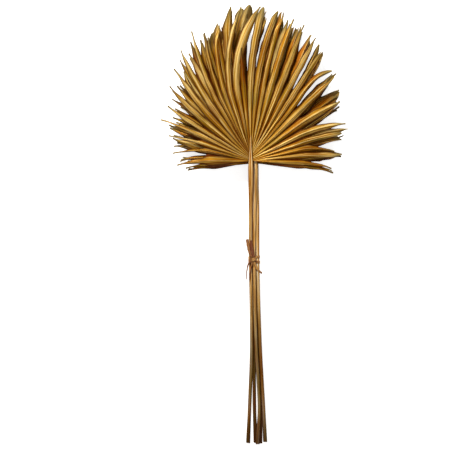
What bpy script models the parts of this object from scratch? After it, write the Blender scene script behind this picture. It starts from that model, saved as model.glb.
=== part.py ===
"""A bunch of five dried fan palm fronds, lying on a surface and tied with raffia.

Each frond is a stem (the leafstalk, which runs on over the blade as a tapering costa) and a
pleated fan blade whose segments are joined near the hub and free towards their tips.
The fronds lie one on another, each in a layer of its own. +Y runs along the stems towards the
tips, +Z is up, and the surface is at Z = 0. Lengths are in millimetres until MM turns them
into metres.
"""

import math
import random

import bmesh
import bpy
from mathutils import Vector
from mathutils.geometry import convex_hull_2d

MM = 0.001
GAP = 0.3

# The layers: the hub of the lowest blade, and the step from one blade up to the next.
LOWEST_HUB_Z = 4.0
LAYER_STEP = 8.0

# The fan: how far its segments reach from the hub, by direction (0 is right, 90 is up).
REACH = (
    (-8, 120), (4, 132), (14, 145), (24, 160), (36, 173), (48, 191), (60, 213), (72, 233),
    (84, 242), (96, 245), (106, 230), (117, 224), (126, 202), (138, 174), (150, 157),
    (162, 142), (176, 127), (190, 112),
)
REACH_TOP = 246.0
REACH_VARIES = 0.03
HUB_RADIUS = 7.0
FOLDS_BEGIN = 8.0
FOLDS_FULL = 24.0
FOLD_ANGLE = math.radians(33)
BLADE_THICKNESS = 0.5
ARCH_HEIGHT = 6.0
TIP_DROOP = 2.4
STAGGER = 0.7

# A segment: where it parts from its neighbours, how it swells and how blunt its tip is.
SPLIT_AT_SIDES = 0.55
SPLIT_AT_TOP = 0.45
SWELL = 0.15
TAPER_POWER = 2.9
TIP_HALF_WIDTH = 1.2
FREE_ROWS = (0.42, 0.80, 1.0)

# The upper left segments sway towards the middle, and the bunch has parted in some places.
SWAY_DIRECTION = 106.0
SWAY_WIDTH = 17.0
SWAY_TURN = -11.0
SWAY_VARIES = 1.0
PARTING_REACH = 8.0
PARTINGS = ((0.5, 4.0), (10.5, 5.0), (51.0, 6.0), (86.0, 4.0), (121.0, 3.0), (172.0, 5.0))

# The stem's section is round above and flat below.
STEM_WIDTH = 5.6
STEM_HEIGHT = 4.4
STEM_FLAT = -0.86
SECTION_POINTS = 12
STEM_SCALE_AT_TIE = 0.96
STEM_SCALE_AT_END = 1.18
COSTA_LENGTH = 40.0
COSTA_ROWS = (1.0, 0.72, 0.4, 0.12)
COSTA_TIP_SCALE = 0.28

# The raffia tie.
TIE_TOP = -46.0
TIE_BOTTOM = -70.0
UPPER_TURN_Y = -53.5
LOWER_TURN_Y = -59.5
TURN_WIDTH = 4.6
RAFFIA_THICKNESS = 0.7
LOWER_ROW_Z = 3.4
UPPER_ROW_Z = 8.3

# One row for each frond, from the top layer down: the hub, the fan's turn and size, then the
# stem's places (X, Z) at the tie, at two stations below it, and (X, Y, Z) at its cut end.
FRONDS = (
    dict(hub=(-4.8, 100.8), turn=0.6, size=1.0, count=28, hub_scale=1.38, seed=3,
         tie=(-5.1, UPPER_ROW_Z), middle=(-3.0, 7.6), low=(-6.4, 3.2), end=(-8.6, -350.2, 2.24)),
    dict(hub=(3.4, 97.0), turn=-2.6, size=0.98, count=27, hub_scale=1.14, seed=11,
         tie=(0.8, UPPER_ROW_Z), middle=(3.7, 7.9), low=(9.2, 7.6), end=(6.6, -351.6, 7.7)),
    dict(hub=(5.2, 99.0), turn=-3.6, size=0.96, count=27, hub_scale=0.98, seed=23,
         tie=(6.6, UPPER_ROW_Z), middle=(10.3, 7.7), low=(16.3, 7.3), end=(18.8, -348.4, 3.2)),
    dict(hub=(-3.0, 103.0), turn=3.4, size=0.96, count=26, hub_scale=1.1, seed=37,
         tie=(-2.0, LOWER_ROW_Z), middle=(0.6, 2.5), low=(1.6, 2.3), end=(3.2, -350.0, 2.24)),
    dict(hub=(0.0, 100.0), turn=0.8, size=0.98, count=26, hub_scale=1.1, seed=41,
         tie=(3.9, LOWER_ROW_Z), middle=(7.0, 2.5), low=(12.0, 2.3), end=(10.9, -350.8, 2.24)),
)
FAN_MIDDLE = 92.3
FAN_HALF_SPREAD = 97.0
FAN_CROWDING = 0.25
BETWEEN_Y = 28.0
BETWEEN_ACROSS = 0.3
BETWEEN_UP = 0.58
MIDDLE_Y = -185.0
LOW_Y = -297.0
STEM_PITCH = 27.0

# The raffia's loose ends: width, then the points they pass through.
TAILS = dict(
    raffia_tail_upper_left=(
        4.0, ((-4.4, -52.0, 14.2), (-6.8, -45.0, 14.0), (-8.8, -35.0, 12.8), (-10.2, -24.8, 12.4)),
    ),
    raffia_tail_upper_right=(
        4.6, ((0.2, -50.8, 14.2), (-1.6, -44.0, 14.4), (-3.0, -35.0, 15.0), (-3.8, -26.0, 15.8)),
    ),
    raffia_tail_lower_left=(
        2.2, ((-6.2, -59.5, 13.8), (-9.2, -65.0, 11.8), (-10.8, -75.0, 10.2), (-11.8, -88.4, 9.4)),
    ),
    raffia_tail_lower_middle=(
        2.6, ((-2.6, -61.8, 13.8), (-4.2, -69.0, 12.6), (-5.8, -79.0, 12.2), (-6.8, -89.0, 12.0)),
    ),
    raffia_tail_lower_right=(
        3.0, ((1.6, -60.6, 13.8), (3.8, -67.0, 12.8), (7.0, -73.0, 12.0), (13.6, -78.4, 10.0)),
    ),
)
KNOT_CENTRE = (0.2, -56.6, 14.4)
KNOT_SIZE = (7.0, 7.2, 4.2)


def clear_scene():
    """Remove what the startup scene holds."""
    for obj in list(bpy.data.objects):
        bpy.data.objects.remove(obj)


def make_material(name, colour, roughness):
    """A plain finish for one kind of part."""
    material = bpy.data.materials.new(name)
    material.use_nodes = True
    shader = material.node_tree.nodes["Principled BSDF"]
    shader.inputs["Base Color"].default_value = (*colour, 1.0)
    shader.inputs["Roughness"].default_value = roughness
    shader.inputs["Metallic"].default_value = 0.0
    return material


def smoothstep(low, high, value):
    """0 below low, 1 above high, and a smooth rise between."""
    t = min(1.0, max(0.0, (value - low) / (high - low)))
    return t * t * (3.0 - 2.0 * t)


def polar(radius, degrees):
    """The point at that distance and direction from a hub."""
    angle = math.radians(degrees)
    return Vector((radius * math.cos(angle), radius * math.sin(angle)))


def hub_z(layer):
    """The height of a layer's blade at its hub; layer 0 is the top one."""
    return LOWEST_HUB_Z + LAYER_STEP * (len(FRONDS) - 1 - layer)


def reach(direction):
    """How far the fan reaches in that direction, before a segment's own variation."""
    if direction <= REACH[0][0]:
        return REACH[0][1]
    for (low, near), (high, far) in zip(REACH, REACH[1:]):
        if direction <= high:
            return near + (far - near) * smoothstep(low, high, direction)
    return REACH[-1][1]


def fan_direction(frond, place):
    """The direction at a place across the fan, which counts up by one for each segment."""
    off_middle = 2.0 * place / frond["count"] - 1.0
    crowded = off_middle * (1.0 - FAN_CROWDING + FAN_CROWDING * off_middle * off_middle)
    return FAN_MIDDLE + frond["turn"] + FAN_HALF_SPREAD * crowded


def half_pitch(frond, place):
    """Half the angle that a segment takes up there: least at the fan's middle."""
    off_middle = 2.0 * place / frond["count"] - 1.0
    crowding = 1.0 - FAN_CROWDING + 3.0 * FAN_CROWDING * off_middle * off_middle
    return math.radians(FAN_HALF_SPREAD * crowding / frond["count"])


def split_radius(direction):
    """Where two neighbouring segments part, in that direction."""
    rise = max(0.0, math.sin(math.radians(direction))) ** 2
    return reach(direction) * (SPLIT_AT_SIDES + (SPLIT_AT_TOP - SPLIT_AT_SIDES) * rise)


def lean(direction, rng):
    """How far a segment's tip turns from where its base points, in degrees."""
    off_sway = (direction - SWAY_DIRECTION) / SWAY_WIDTH
    turn = SWAY_TURN * math.exp(-off_sway * off_sway) + rng.uniform(-SWAY_VARIES, SWAY_VARIES)
    for place, opening in PARTINGS:
        away = direction - place
        turn += math.copysign(0.5 * opening, away) * math.exp(-abs(away) / PARTING_REACH)
    return turn


def arch(share):
    """The blade's height over its hub at that share of its reach."""
    return ARCH_HEIGHT * math.sin(math.pi * min(share, 1.0)) - TIP_DROOP * share * share


def fold(half_width, radius):
    """Half the height from a segment's edge up to its midrib."""
    return 0.5 * half_width * math.tan(FOLD_ANGLE) * smoothstep(FOLDS_BEGIN, FOLDS_FULL, radius)


def segment_point(frond, index, across, row, tip, turn, lift):
    """A point of one segment, from its hub: across is -1 to 1, and row counts out from the hub.

    Rows 0 to 2 are in the joined part, where neighbours share their edges.
    """
    joined_rows = (HUB_RADIUS, FOLDS_FULL)
    if row <= len(joined_rows):
        place = index + 0.5 * (1.0 - across)
        direction = fan_direction(frond, place)
        split = frond["size"] * split_radius(direction)
        radius = joined_rows[row] if row < len(joined_rows) else split
        height = fold(radius * math.sin(half_pitch(frond, place)), radius)
        share = radius / (frond["size"] * reach(direction))
        return (*polar(radius, direction), arch(share) + height * (1.0 - 2.0 * abs(across)))
    free = FREE_ROWS[row - len(joined_rows) - 1]
    direction = fan_direction(frond, index + 0.5)
    root = frond["size"] * split_radius(direction)
    radius = root + free * (tip - root)
    heading = direction + turn * free**1.4
    root_half_width = root * math.sin(half_pitch(frond, index + 0.5))
    swell = 1.0 + SWELL * math.sin(math.pi * free)
    half_width = root_half_width * swell * (1.0 - free**TAPER_POWER) + TIP_HALF_WIDTH * free
    side = polar(1.0, heading + 0.8 * turn - 90.0)
    point = polar(radius, heading) + side * (across * half_width)
    height = fold(half_width, radius)
    share = radius / (frond["size"] * reach(direction))
    return (*point, arch(share) + height * (1.0 - 2.0 * abs(across)) + lift * free)


def make_blade(name, frond, layer, material):
    """The pleated fan: one strip for each segment, joined along the inner edges."""
    rng = random.Random(frond["seed"])
    rows = 3 + len(FREE_ROWS)
    sheet = bmesh.new()
    for index in range(frond["count"]):
        direction = fan_direction(frond, index + 0.5)
        turn = lean(direction, rng)
        tip = frond["size"] * reach(direction + turn) * (1.0 + rng.uniform(-REACH_VARIES, REACH_VARIES))
        lift = STAGGER * (1 if index % 2 else -1)
        made = bmesh.ops.create_grid(sheet, x_segments=2, y_segments=rows - 1, size=1.0)
        for vert in made["verts"]:
            across = vert.co.x
            row = round((vert.co.y + 1.0) / 2.0 * (rows - 1))
            vert.co = segment_point(frond, index, across, row, tip, turn, lift)
    bmesh.ops.remove_doubles(sheet, verts=sheet.verts, dist=0.01)
    bmesh.ops.recalc_face_normals(sheet, faces=sheet.faces)
    bmesh.ops.scale(sheet, vec=(MM, MM, MM), verts=sheet.verts)
    mesh = bpy.data.meshes.new(name)
    sheet.to_mesh(mesh)
    sheet.free()
    mesh.materials.append(material)
    blade = bpy.data.objects.new(name, mesh)
    blade.location = Vector((*frond["hub"], hub_z(layer))) * MM
    shell = blade.modifiers.new("thickness", "SOLIDIFY")
    shell.thickness = BLADE_THICKNESS * MM
    shell.offset = 0.0
    return blade


def stem_stations(frond, layer):
    """(Y, X, Z, scale) of the stem's centre line, from the costa's tip down to the cut end."""
    hub_x, hub_y = frond["hub"]
    top = hub_z(layer)
    stations = []
    for share in COSTA_ROWS:
        scale = frond["hub_scale"] + (COSTA_TIP_SCALE - frond["hub_scale"]) * share**0.7
        distance = share * COSTA_LENGTH
        ridge = fold(distance * math.sin(math.radians(3.0)), distance)
        rest = arch(distance / REACH_TOP) + 2.0 * ridge + 0.5 * BLADE_THICKNESS + GAP
        centre = top + rest - STEM_FLAT * 0.5 * STEM_HEIGHT * scale
        stations.append((hub_y + distance, hub_x, centre, scale))
    neck = top + 0.5 * STEM_HEIGHT * frond["hub_scale"] + 0.2
    stations.append((hub_y - 12.0, hub_x, neck - 1.0, frond["hub_scale"]))
    tie_x, tie_z = frond["tie"]
    spread = tie_x + (hub_x - tie_x) * BETWEEN_ACROSS
    stations.append((BETWEEN_Y, spread, tie_z + (neck - tie_z) * BETWEEN_UP, 1.02))
    stations.append((TIE_TOP, tie_x, tie_z, STEM_SCALE_AT_TIE))
    stations.append((TIE_BOTTOM, tie_x + 0.3, tie_z, STEM_SCALE_AT_TIE))
    stations.append((MIDDLE_Y, *frond["middle"], 1.0))
    stations.append((LOW_Y, *frond["low"], 1.0))
    end_x, end_y, end_z = frond["end"]
    stations.append((end_y, end_x, end_z, STEM_SCALE_AT_END))
    return stations


def slope(stations, i, k):
    """The slope at a station, level where the run turns back, so the curve never overshoots."""
    if i == 0 or i == len(stations) - 1:
        i = min(max(i, 1), len(stations) - 2)
    before, here, after = stations[i - 1], stations[i], stations[i + 1]
    rise_in = (here[k] - before[k]) / (here[0] - before[0])
    rise_out = (after[k] - here[k]) / (after[0] - here[0])
    if rise_in * rise_out <= 0.0:
        return 0.0
    return 2.0 * rise_in * rise_out / (rise_in + rise_out)


def along_stations(stations, y):
    """(X, Z, scale) at that Y on a smooth curve through the stations."""
    last = len(stations) - 2
    i = next((n for n in range(last + 1) if y >= stations[n + 1][0]), last)
    here, there = stations[i], stations[i + 1]
    span = there[0] - here[0]
    t = (y - here[0]) / span
    found = []
    for k in (1, 2, 3):
        found.append(
            here[k] * (1 + 2 * t) * (1 - t) ** 2
            + slope(stations, i, k) * span * t * (1 - t) ** 2
            + there[k] * t * t * (3 - 2 * t)
            + slope(stations, i + 1, k) * span * t * t * (t - 1)
        )
    return tuple(found)


def section_points(scale, grow=0.0):
    """The stem's section round its centre, X across and Y up, grown outwards by some distance."""
    half_width = 0.5 * STEM_WIDTH * scale
    half_height = 0.5 * STEM_HEIGHT * scale
    points = []
    for n in range(SECTION_POINTS):
        angle = -2.0 * math.pi * (n + 0.5) / SECTION_POINTS
        up = max(STEM_FLAT * half_height - grow, (half_height + grow) * math.sin(angle))
        points.append(Vector(((half_width + grow) * math.cos(angle), up)))
    return points


def make_stem(name, stations, material):
    """The stem: its section carried along its centre line."""
    outline = bpy.data.curves.new(name + "_section", "CURVE")
    outline.dimensions = "2D"
    ring = outline.splines.new("POLY")
    ring.points.add(SECTION_POINTS - 1)
    ring.use_cyclic_u = True
    for point, place in zip(ring.points, section_points(1.0)):
        point.co = (place.x * MM, place.y * MM, 0.0, 1.0)
    section = bpy.data.objects.new(name + "_section", outline)
    section.hide_render = True
    section.display_type = "WIRE"

    centre = bpy.data.curves.new(name, "CURVE")
    centre.dimensions = "3D"
    centre.twist_mode = "Z_UP"
    centre.bevel_mode = "OBJECT"
    centre.bevel_object = section
    centre.use_fill_caps = True
    line = centre.splines.new("POLY")
    heights = stem_rows(stations)
    line.points.add(len(heights) - 1)
    for point, y in zip(line.points, heights):
        x, z, scale = along_stations(stations, y)
        point.co = (x * MM, y * MM, z * MM, 1.0)
        point.radius = scale
    centre.materials.append(material)
    return bpy.data.objects.new(name, centre), section


def stem_rows(stations):
    """The Y of each cross-section: every station, and steps of about STEM_PITCH between them."""
    rows = [stations[0][0]]
    for (start, *_), (stop, *_) in zip(stations, stations[1:]):
        steps = max(1, round((start - stop) / STEM_PITCH))
        rows += [start + (stop - start) * (n + 1) / steps for n in range(steps)]
    return rows


def make_turn(name, all_stations, y, material):
    """One turn of raffia: a flat band drawn tight round the five stems."""
    band = bpy.data.curves.new(name, "CURVE")
    band.dimensions = "2D"
    band.fill_mode = "BOTH"
    band.extrude = 0.5 * TURN_WIDTH * MM
    for grow in (GAP, GAP + RAFFIA_THICKNESS):
        cloud = []
        for stations in all_stations:
            for edge in (-0.5, 0.5):
                x, z, scale = along_stations(stations, y + edge * TURN_WIDTH)
                cloud += [Vector((x, z)) + p for p in section_points(scale, grow)]
        order = convex_hull_2d(cloud)
        loop = band.splines.new("POLY")
        loop.points.add(len(order) - 1)
        loop.use_cyclic_u = True
        for point, index in zip(loop.points, order):
            point.co = (cloud[index].x * MM, cloud[index].y * MM, 0.0, 1.0)
    band.materials.append(material)
    turn = bpy.data.objects.new(name, band)
    turn.rotation_euler = (math.radians(90), 0.0, 0.0)
    turn.location = (0.0, y * MM, 0.0)
    return turn


def make_knot(name, material):
    """The raffia's knot, a flattened lump on top of the turns."""
    lump = bmesh.new()
    bmesh.ops.create_uvsphere(lump, u_segments=12, v_segments=8, radius=0.5 * MM)
    bmesh.ops.scale(lump, vec=KNOT_SIZE, verts=lump.verts)
    mesh = bpy.data.meshes.new(name)
    lump.to_mesh(mesh)
    lump.free()
    mesh.materials.append(material)
    mesh.shade_smooth()
    knot = bpy.data.objects.new(name, mesh)
    knot.location = Vector(KNOT_CENTRE) * MM
    return knot


def make_tail(name, width, path, material):
    """A loose end of the raffia: a flat strip along its points."""
    points = [Vector(p) for p in path]
    rows = len(points)
    strip = bmesh.new()
    made = bmesh.ops.create_grid(strip, x_segments=1, y_segments=rows - 1, size=1.0)
    for vert in made["verts"]:
        row = round((vert.co.y + 1.0) / 2.0 * (rows - 1))
        run = points[min(row + 1, rows - 1)] - points[max(row - 1, 0)]
        side = Vector((-run.y, run.x, 0.0)).normalized()
        vert.co = (points[row] - side * (0.5 * width * vert.co.x)) * MM
    mesh = bpy.data.meshes.new(name)
    strip.to_mesh(mesh)
    strip.free()
    mesh.materials.append(material)
    tail = bpy.data.objects.new(name, mesh)
    shell = tail.modifiers.new("thickness", "SOLIDIFY")
    shell.thickness = RAFFIA_THICKNESS * MM
    shell.offset = 0.0
    return tail


def main():
    clear_scene()
    leaf = make_material("dried_palm_leaf", (0.47, 0.28, 0.07), 0.5)
    stalk = make_material("dried_leafstalk", (0.40, 0.22, 0.06), 0.45)
    raffia = make_material("raffia", (0.33, 0.19, 0.07), 0.7)

    bunch = bpy.data.collections.new("palm_frond_bunch")
    guides = bpy.data.collections.new("guides")
    bpy.context.scene.collection.children.link(bunch)
    bpy.context.scene.collection.children.link(guides)

    all_stations = [stem_stations(frond, layer) for layer, frond in enumerate(FRONDS)]
    for layer, (frond, stations) in enumerate(zip(FRONDS, all_stations)):
        number = layer + 1
        bunch.objects.link(make_blade(f"frond_{number}_blade", frond, layer, leaf))
        stem, section = make_stem(f"frond_{number}_stem", stations, stalk)
        bunch.objects.link(stem)
        guides.objects.link(section)
    bunch.objects.link(make_turn("raffia_turn_upper", all_stations, UPPER_TURN_Y, raffia))
    bunch.objects.link(make_turn("raffia_turn_lower", all_stations, LOWER_TURN_Y, raffia))
    bunch.objects.link(make_knot("raffia_knot", raffia))
    for name, (width, path) in TAILS.items():
        bunch.objects.link(make_tail(name, width, path, raffia))


main()
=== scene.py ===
"""Looks for a tied bunch of dried, gold-lacquered fan palm fronds lying on a pale surface.

Lengths are in millimetres inside the classes and turn into metres as each mesh is made.
+Y runs from the cut ends towards the leaf tips, +Z is up, and the surface is at Z = 0.
"""

import logging
import math
import random
from collections.abc import Sequence
from dataclasses import dataclass, field, replace
from enum import Enum

import bmesh
import bpy
from mathutils import Matrix, Vector

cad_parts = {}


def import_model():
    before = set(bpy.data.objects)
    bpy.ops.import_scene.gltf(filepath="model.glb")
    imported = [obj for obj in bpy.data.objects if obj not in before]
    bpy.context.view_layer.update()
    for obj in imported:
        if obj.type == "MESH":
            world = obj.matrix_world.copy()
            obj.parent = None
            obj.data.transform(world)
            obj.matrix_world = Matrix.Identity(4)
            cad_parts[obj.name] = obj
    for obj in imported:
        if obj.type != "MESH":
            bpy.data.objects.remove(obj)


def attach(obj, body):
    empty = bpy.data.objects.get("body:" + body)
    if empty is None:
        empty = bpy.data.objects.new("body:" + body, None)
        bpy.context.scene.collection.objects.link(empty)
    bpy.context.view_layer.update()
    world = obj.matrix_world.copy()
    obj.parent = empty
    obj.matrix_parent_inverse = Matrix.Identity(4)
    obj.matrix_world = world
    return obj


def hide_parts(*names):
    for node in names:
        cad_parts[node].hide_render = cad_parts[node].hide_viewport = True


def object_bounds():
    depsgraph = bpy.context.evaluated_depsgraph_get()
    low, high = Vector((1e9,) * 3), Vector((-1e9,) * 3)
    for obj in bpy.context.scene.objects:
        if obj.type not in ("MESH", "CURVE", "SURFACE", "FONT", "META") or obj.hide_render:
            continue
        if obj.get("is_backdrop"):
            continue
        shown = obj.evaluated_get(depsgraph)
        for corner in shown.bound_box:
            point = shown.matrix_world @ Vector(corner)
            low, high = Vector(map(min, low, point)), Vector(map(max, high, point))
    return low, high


Pair = tuple[float, float]
Triple = tuple[float, float, float]
Shape = bmesh.types.BMesh
Piece = bpy.types.Object
Material = bpy.types.Material
Tree = bpy.types.NodeTree
Node = bpy.types.Node
Socket = bpy.types.NodeSocket

MM = 0.001
LOG = logging.getLogger("palm_bunch")


# ---------------------------------------------------------------- small helpers


def clamp(value: float, low: float = 0.0, high: float = 1.0) -> float:
    """The value, kept between low and high."""
    return min(high, max(low, value))


def smoothstep(low: float, high: float, value: float) -> float:
    """0 below low, 1 above high, and a smooth rise between."""
    t = clamp((value - low) / (high - low))
    return t * t * (3.0 - 2.0 * t)


def mix(start: float, end: float, share: float) -> float:
    """The number that share of the way from start to end."""
    return start + (end - start) * share


def polar(radius: float, degrees: float) -> Vector:
    """The level point at that distance and direction; 0 is +X and 90 is +Y."""
    angle = math.radians(degrees)
    return Vector((radius * math.cos(angle), radius * math.sin(angle), 0.0))


def interpolate(stations: Sequence[Pair], place: float) -> float:
    """A smooth curve through stations, level beyond the ends.

    Args:
        stations: (place, value) pairs in the order of their places.
        place: where the value is wanted.

    Returns:
        The value there.
    """
    if place <= stations[0][0]:
        return stations[0][1]
    for (low, here), (high, there) in zip(stations, stations[1:]):
        if place <= high:
            return mix(here, there, smoothstep(low, high, place))
    return stations[-1][1]


def srgb(code: str) -> tuple[float, float, float, float]:
    """Turns an sRGB hex colour into the linear colour that a shader takes.

    Args:
        code: six hex digits, with or without a leading #.

    Returns:
        Red, green and blue from 0 to 1, and an alpha of 1.
    """
    digits = code.lstrip("#")
    channels = [int(digits[i : i + 2], 16) / 255.0 for i in (0, 2, 4)]
    linear = [c / 12.92 if c <= 0.04045 else ((c + 0.055) / 1.055) ** 2.4 for c in channels]
    return (*linear, 1.0)


def add_node(
    tree: Tree,
    kind: str,
    settings: dict[str, object] | None = None,
    inputs: dict[str | int, object] | None = None,
    stops: Sequence[tuple[float, str]] = (),
) -> Node:
    """Adds one shader node, sets it up and links it.

    Args:
        tree: the material's node tree.
        kind: the node's type name without its ShaderNode prefix.
        settings: properties of the node itself.
        inputs: by socket name or number, a value or another node's output to link.
        stops: a colour ramp's (position, hex colour) pairs.

    Returns:
        The new node.
    """
    node = tree.nodes.new("ShaderNode" + kind)
    for name, value in (settings or {}).items():
        setattr(node, name, value)
    for name, value in (inputs or {}).items():
        if isinstance(value, Socket):
            tree.links.new(value, node.inputs[name])
        else:
            node.inputs[name].default_value = value
    for n, (position, code) in enumerate(stops):
        keys = node.color_ramp.elements
        key = keys[n] if n < len(keys) else keys.new(1.0)
        key.position = position
        key.color = srgb(code)
    return node


def make_piece(name: str, shape: Shape, materials: Sequence[Material]) -> Piece:
    """Puts a finished shape in the scene as a piece.

    Args:
        name: the piece's name.
        shape: its shape, which is freed.
        materials: its materials, in slot order.

    Returns:
        The new piece.
    """
    mesh = bpy.data.meshes.new(name)
    shape.to_mesh(mesh)
    shape.free()
    for material in materials:
        mesh.materials.append(material)
    piece = bpy.data.objects.new(name, mesh)
    bpy.context.scene.collection.objects.link(piece)
    return piece


def thicken(piece: Piece, thickness: float) -> None:
    """Gives a thin sheet its thickness and shades it smooth.

    Args:
        piece: the piece, which keeps its name and materials.
        thickness: how thick it becomes, in millimetres.
    """
    shell = piece.modifiers.new("thickness", "SOLIDIFY")
    shell.thickness = thickness * MM
    shell.offset = 0.0
    graph = bpy.context.evaluated_depsgraph_get()
    mesh = bpy.data.meshes.new_from_object(piece.evaluated_get(graph))
    piece.modifiers.clear()
    old = piece.data
    piece.data = mesh
    bpy.data.meshes.remove(old)
    piece.data.shade_smooth()


# ---------------------------------------------------------------- finishes

SMOOTH = {"interpolation_type": "SMOOTHSTEP"}
COLOURS = {"data_type": "RGBA"}


@dataclass(frozen=True)
class Fade:
    """How a layer comes or goes while a reading climbs from one value to another.

    Attributes:
        low: the reading where the change starts.
        high: the reading where it is over.
        before: how strong the layer is up to low.
        after: how strong it is from high on.
    """

    low: float
    high: float
    before: float
    after: float

    def sockets(self, reading: Socket) -> dict[int, object]:
        """What a map range node takes to follow the reading."""
        return {0: reading, 1: self.low, 2: self.high, 3: self.before, 4: self.after}


@dataclass(frozen=True)
class Finish:
    """What a surface is made of and how it looks.

    Attributes:
        name: the material's name, which says what it is and how its surface was made.
    """

    name: str

    def start(self, plain: dict[str, object]) -> tuple[Material, Tree, Node]:
        """Starts the material.

        Args:
            plain: the shader's inputs that are the same all over, by name.

        Returns:
            The material, its node tree and its main shader.
        """
        material = bpy.data.materials.new(self.name)
        material.use_nodes = True
        tree = material.node_tree
        shader = tree.nodes["Principled BSDF"]
        for name, value in plain.items():
            shader.inputs[name].default_value = value
        return material, tree, shader

    def grain(self, tree: Tree, lengths: Socket, per_mm: Triple, detail: float) -> Socket:
        """Draws noise that is stretched along the fibres.

        Args:
            tree: the material's node tree.
            lengths: the lengths across and along the piece, in millimetres.
            per_mm: noise waves per millimetre across, along and between pieces.
            detail: how many finer layers the noise has.

        Returns:
            The noise, from 0 to 1.
        """
        place = add_node(tree, "VectorMath", {"operation": "MULTIPLY"}, {0: lengths, 1: per_mm})
        noise = add_node(tree, "TexNoise", inputs={
            "Vector": place.outputs[0], "Scale": 1.0, "Detail": detail, "Roughness": 0.6})
        return noise.outputs[0]

    def cover(self, tree: Tree, coat: Socket, reading: Socket, fade: Fade, colour: str,
              strength: Socket | float = 1.0) -> Socket:
        """Lays another colour over the coat where a reading calls for it.

        Args:
            tree: the material's node tree.
            coat: the colour so far.
            reading: what decides where the other colour lies.
            fade: how much of it lies there.
            colour: the other colour.
            strength: what its amount is multiplied by.

        Returns:
            The new colour.
        """
        lies = add_node(tree, "MapRange", SMOOTH, fade.sockets(reading))
        amount = add_node(tree, "Math", {"operation": "MULTIPLY"}, {0: lies.outputs[0], 1: strength})
        mixed = add_node(tree, "Mix", COLOURS, {0: amount.outputs[0], 6: coat, 7: srgb(colour)})
        return mixed.outputs[2]

    def emboss(self, tree: Tree, shader: Node, relief: Socket, depth: Pair) -> None:
        """Gives the shader its fine relief.

        Args:
            tree: the material's node tree.
            shader: the material's main shader.
            relief: the relief, from 0 to 1.
            depth: how strongly the relief shows, and how deep it is in millimetres.
        """
        strength, deep_mm = depth
        bump = add_node(tree, "Bump", inputs={
            "Strength": strength, "Distance": deep_mm * MM, "Height": relief})
        tree.links.new(bump.outputs[0], shader.inputs["Normal"])


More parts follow.
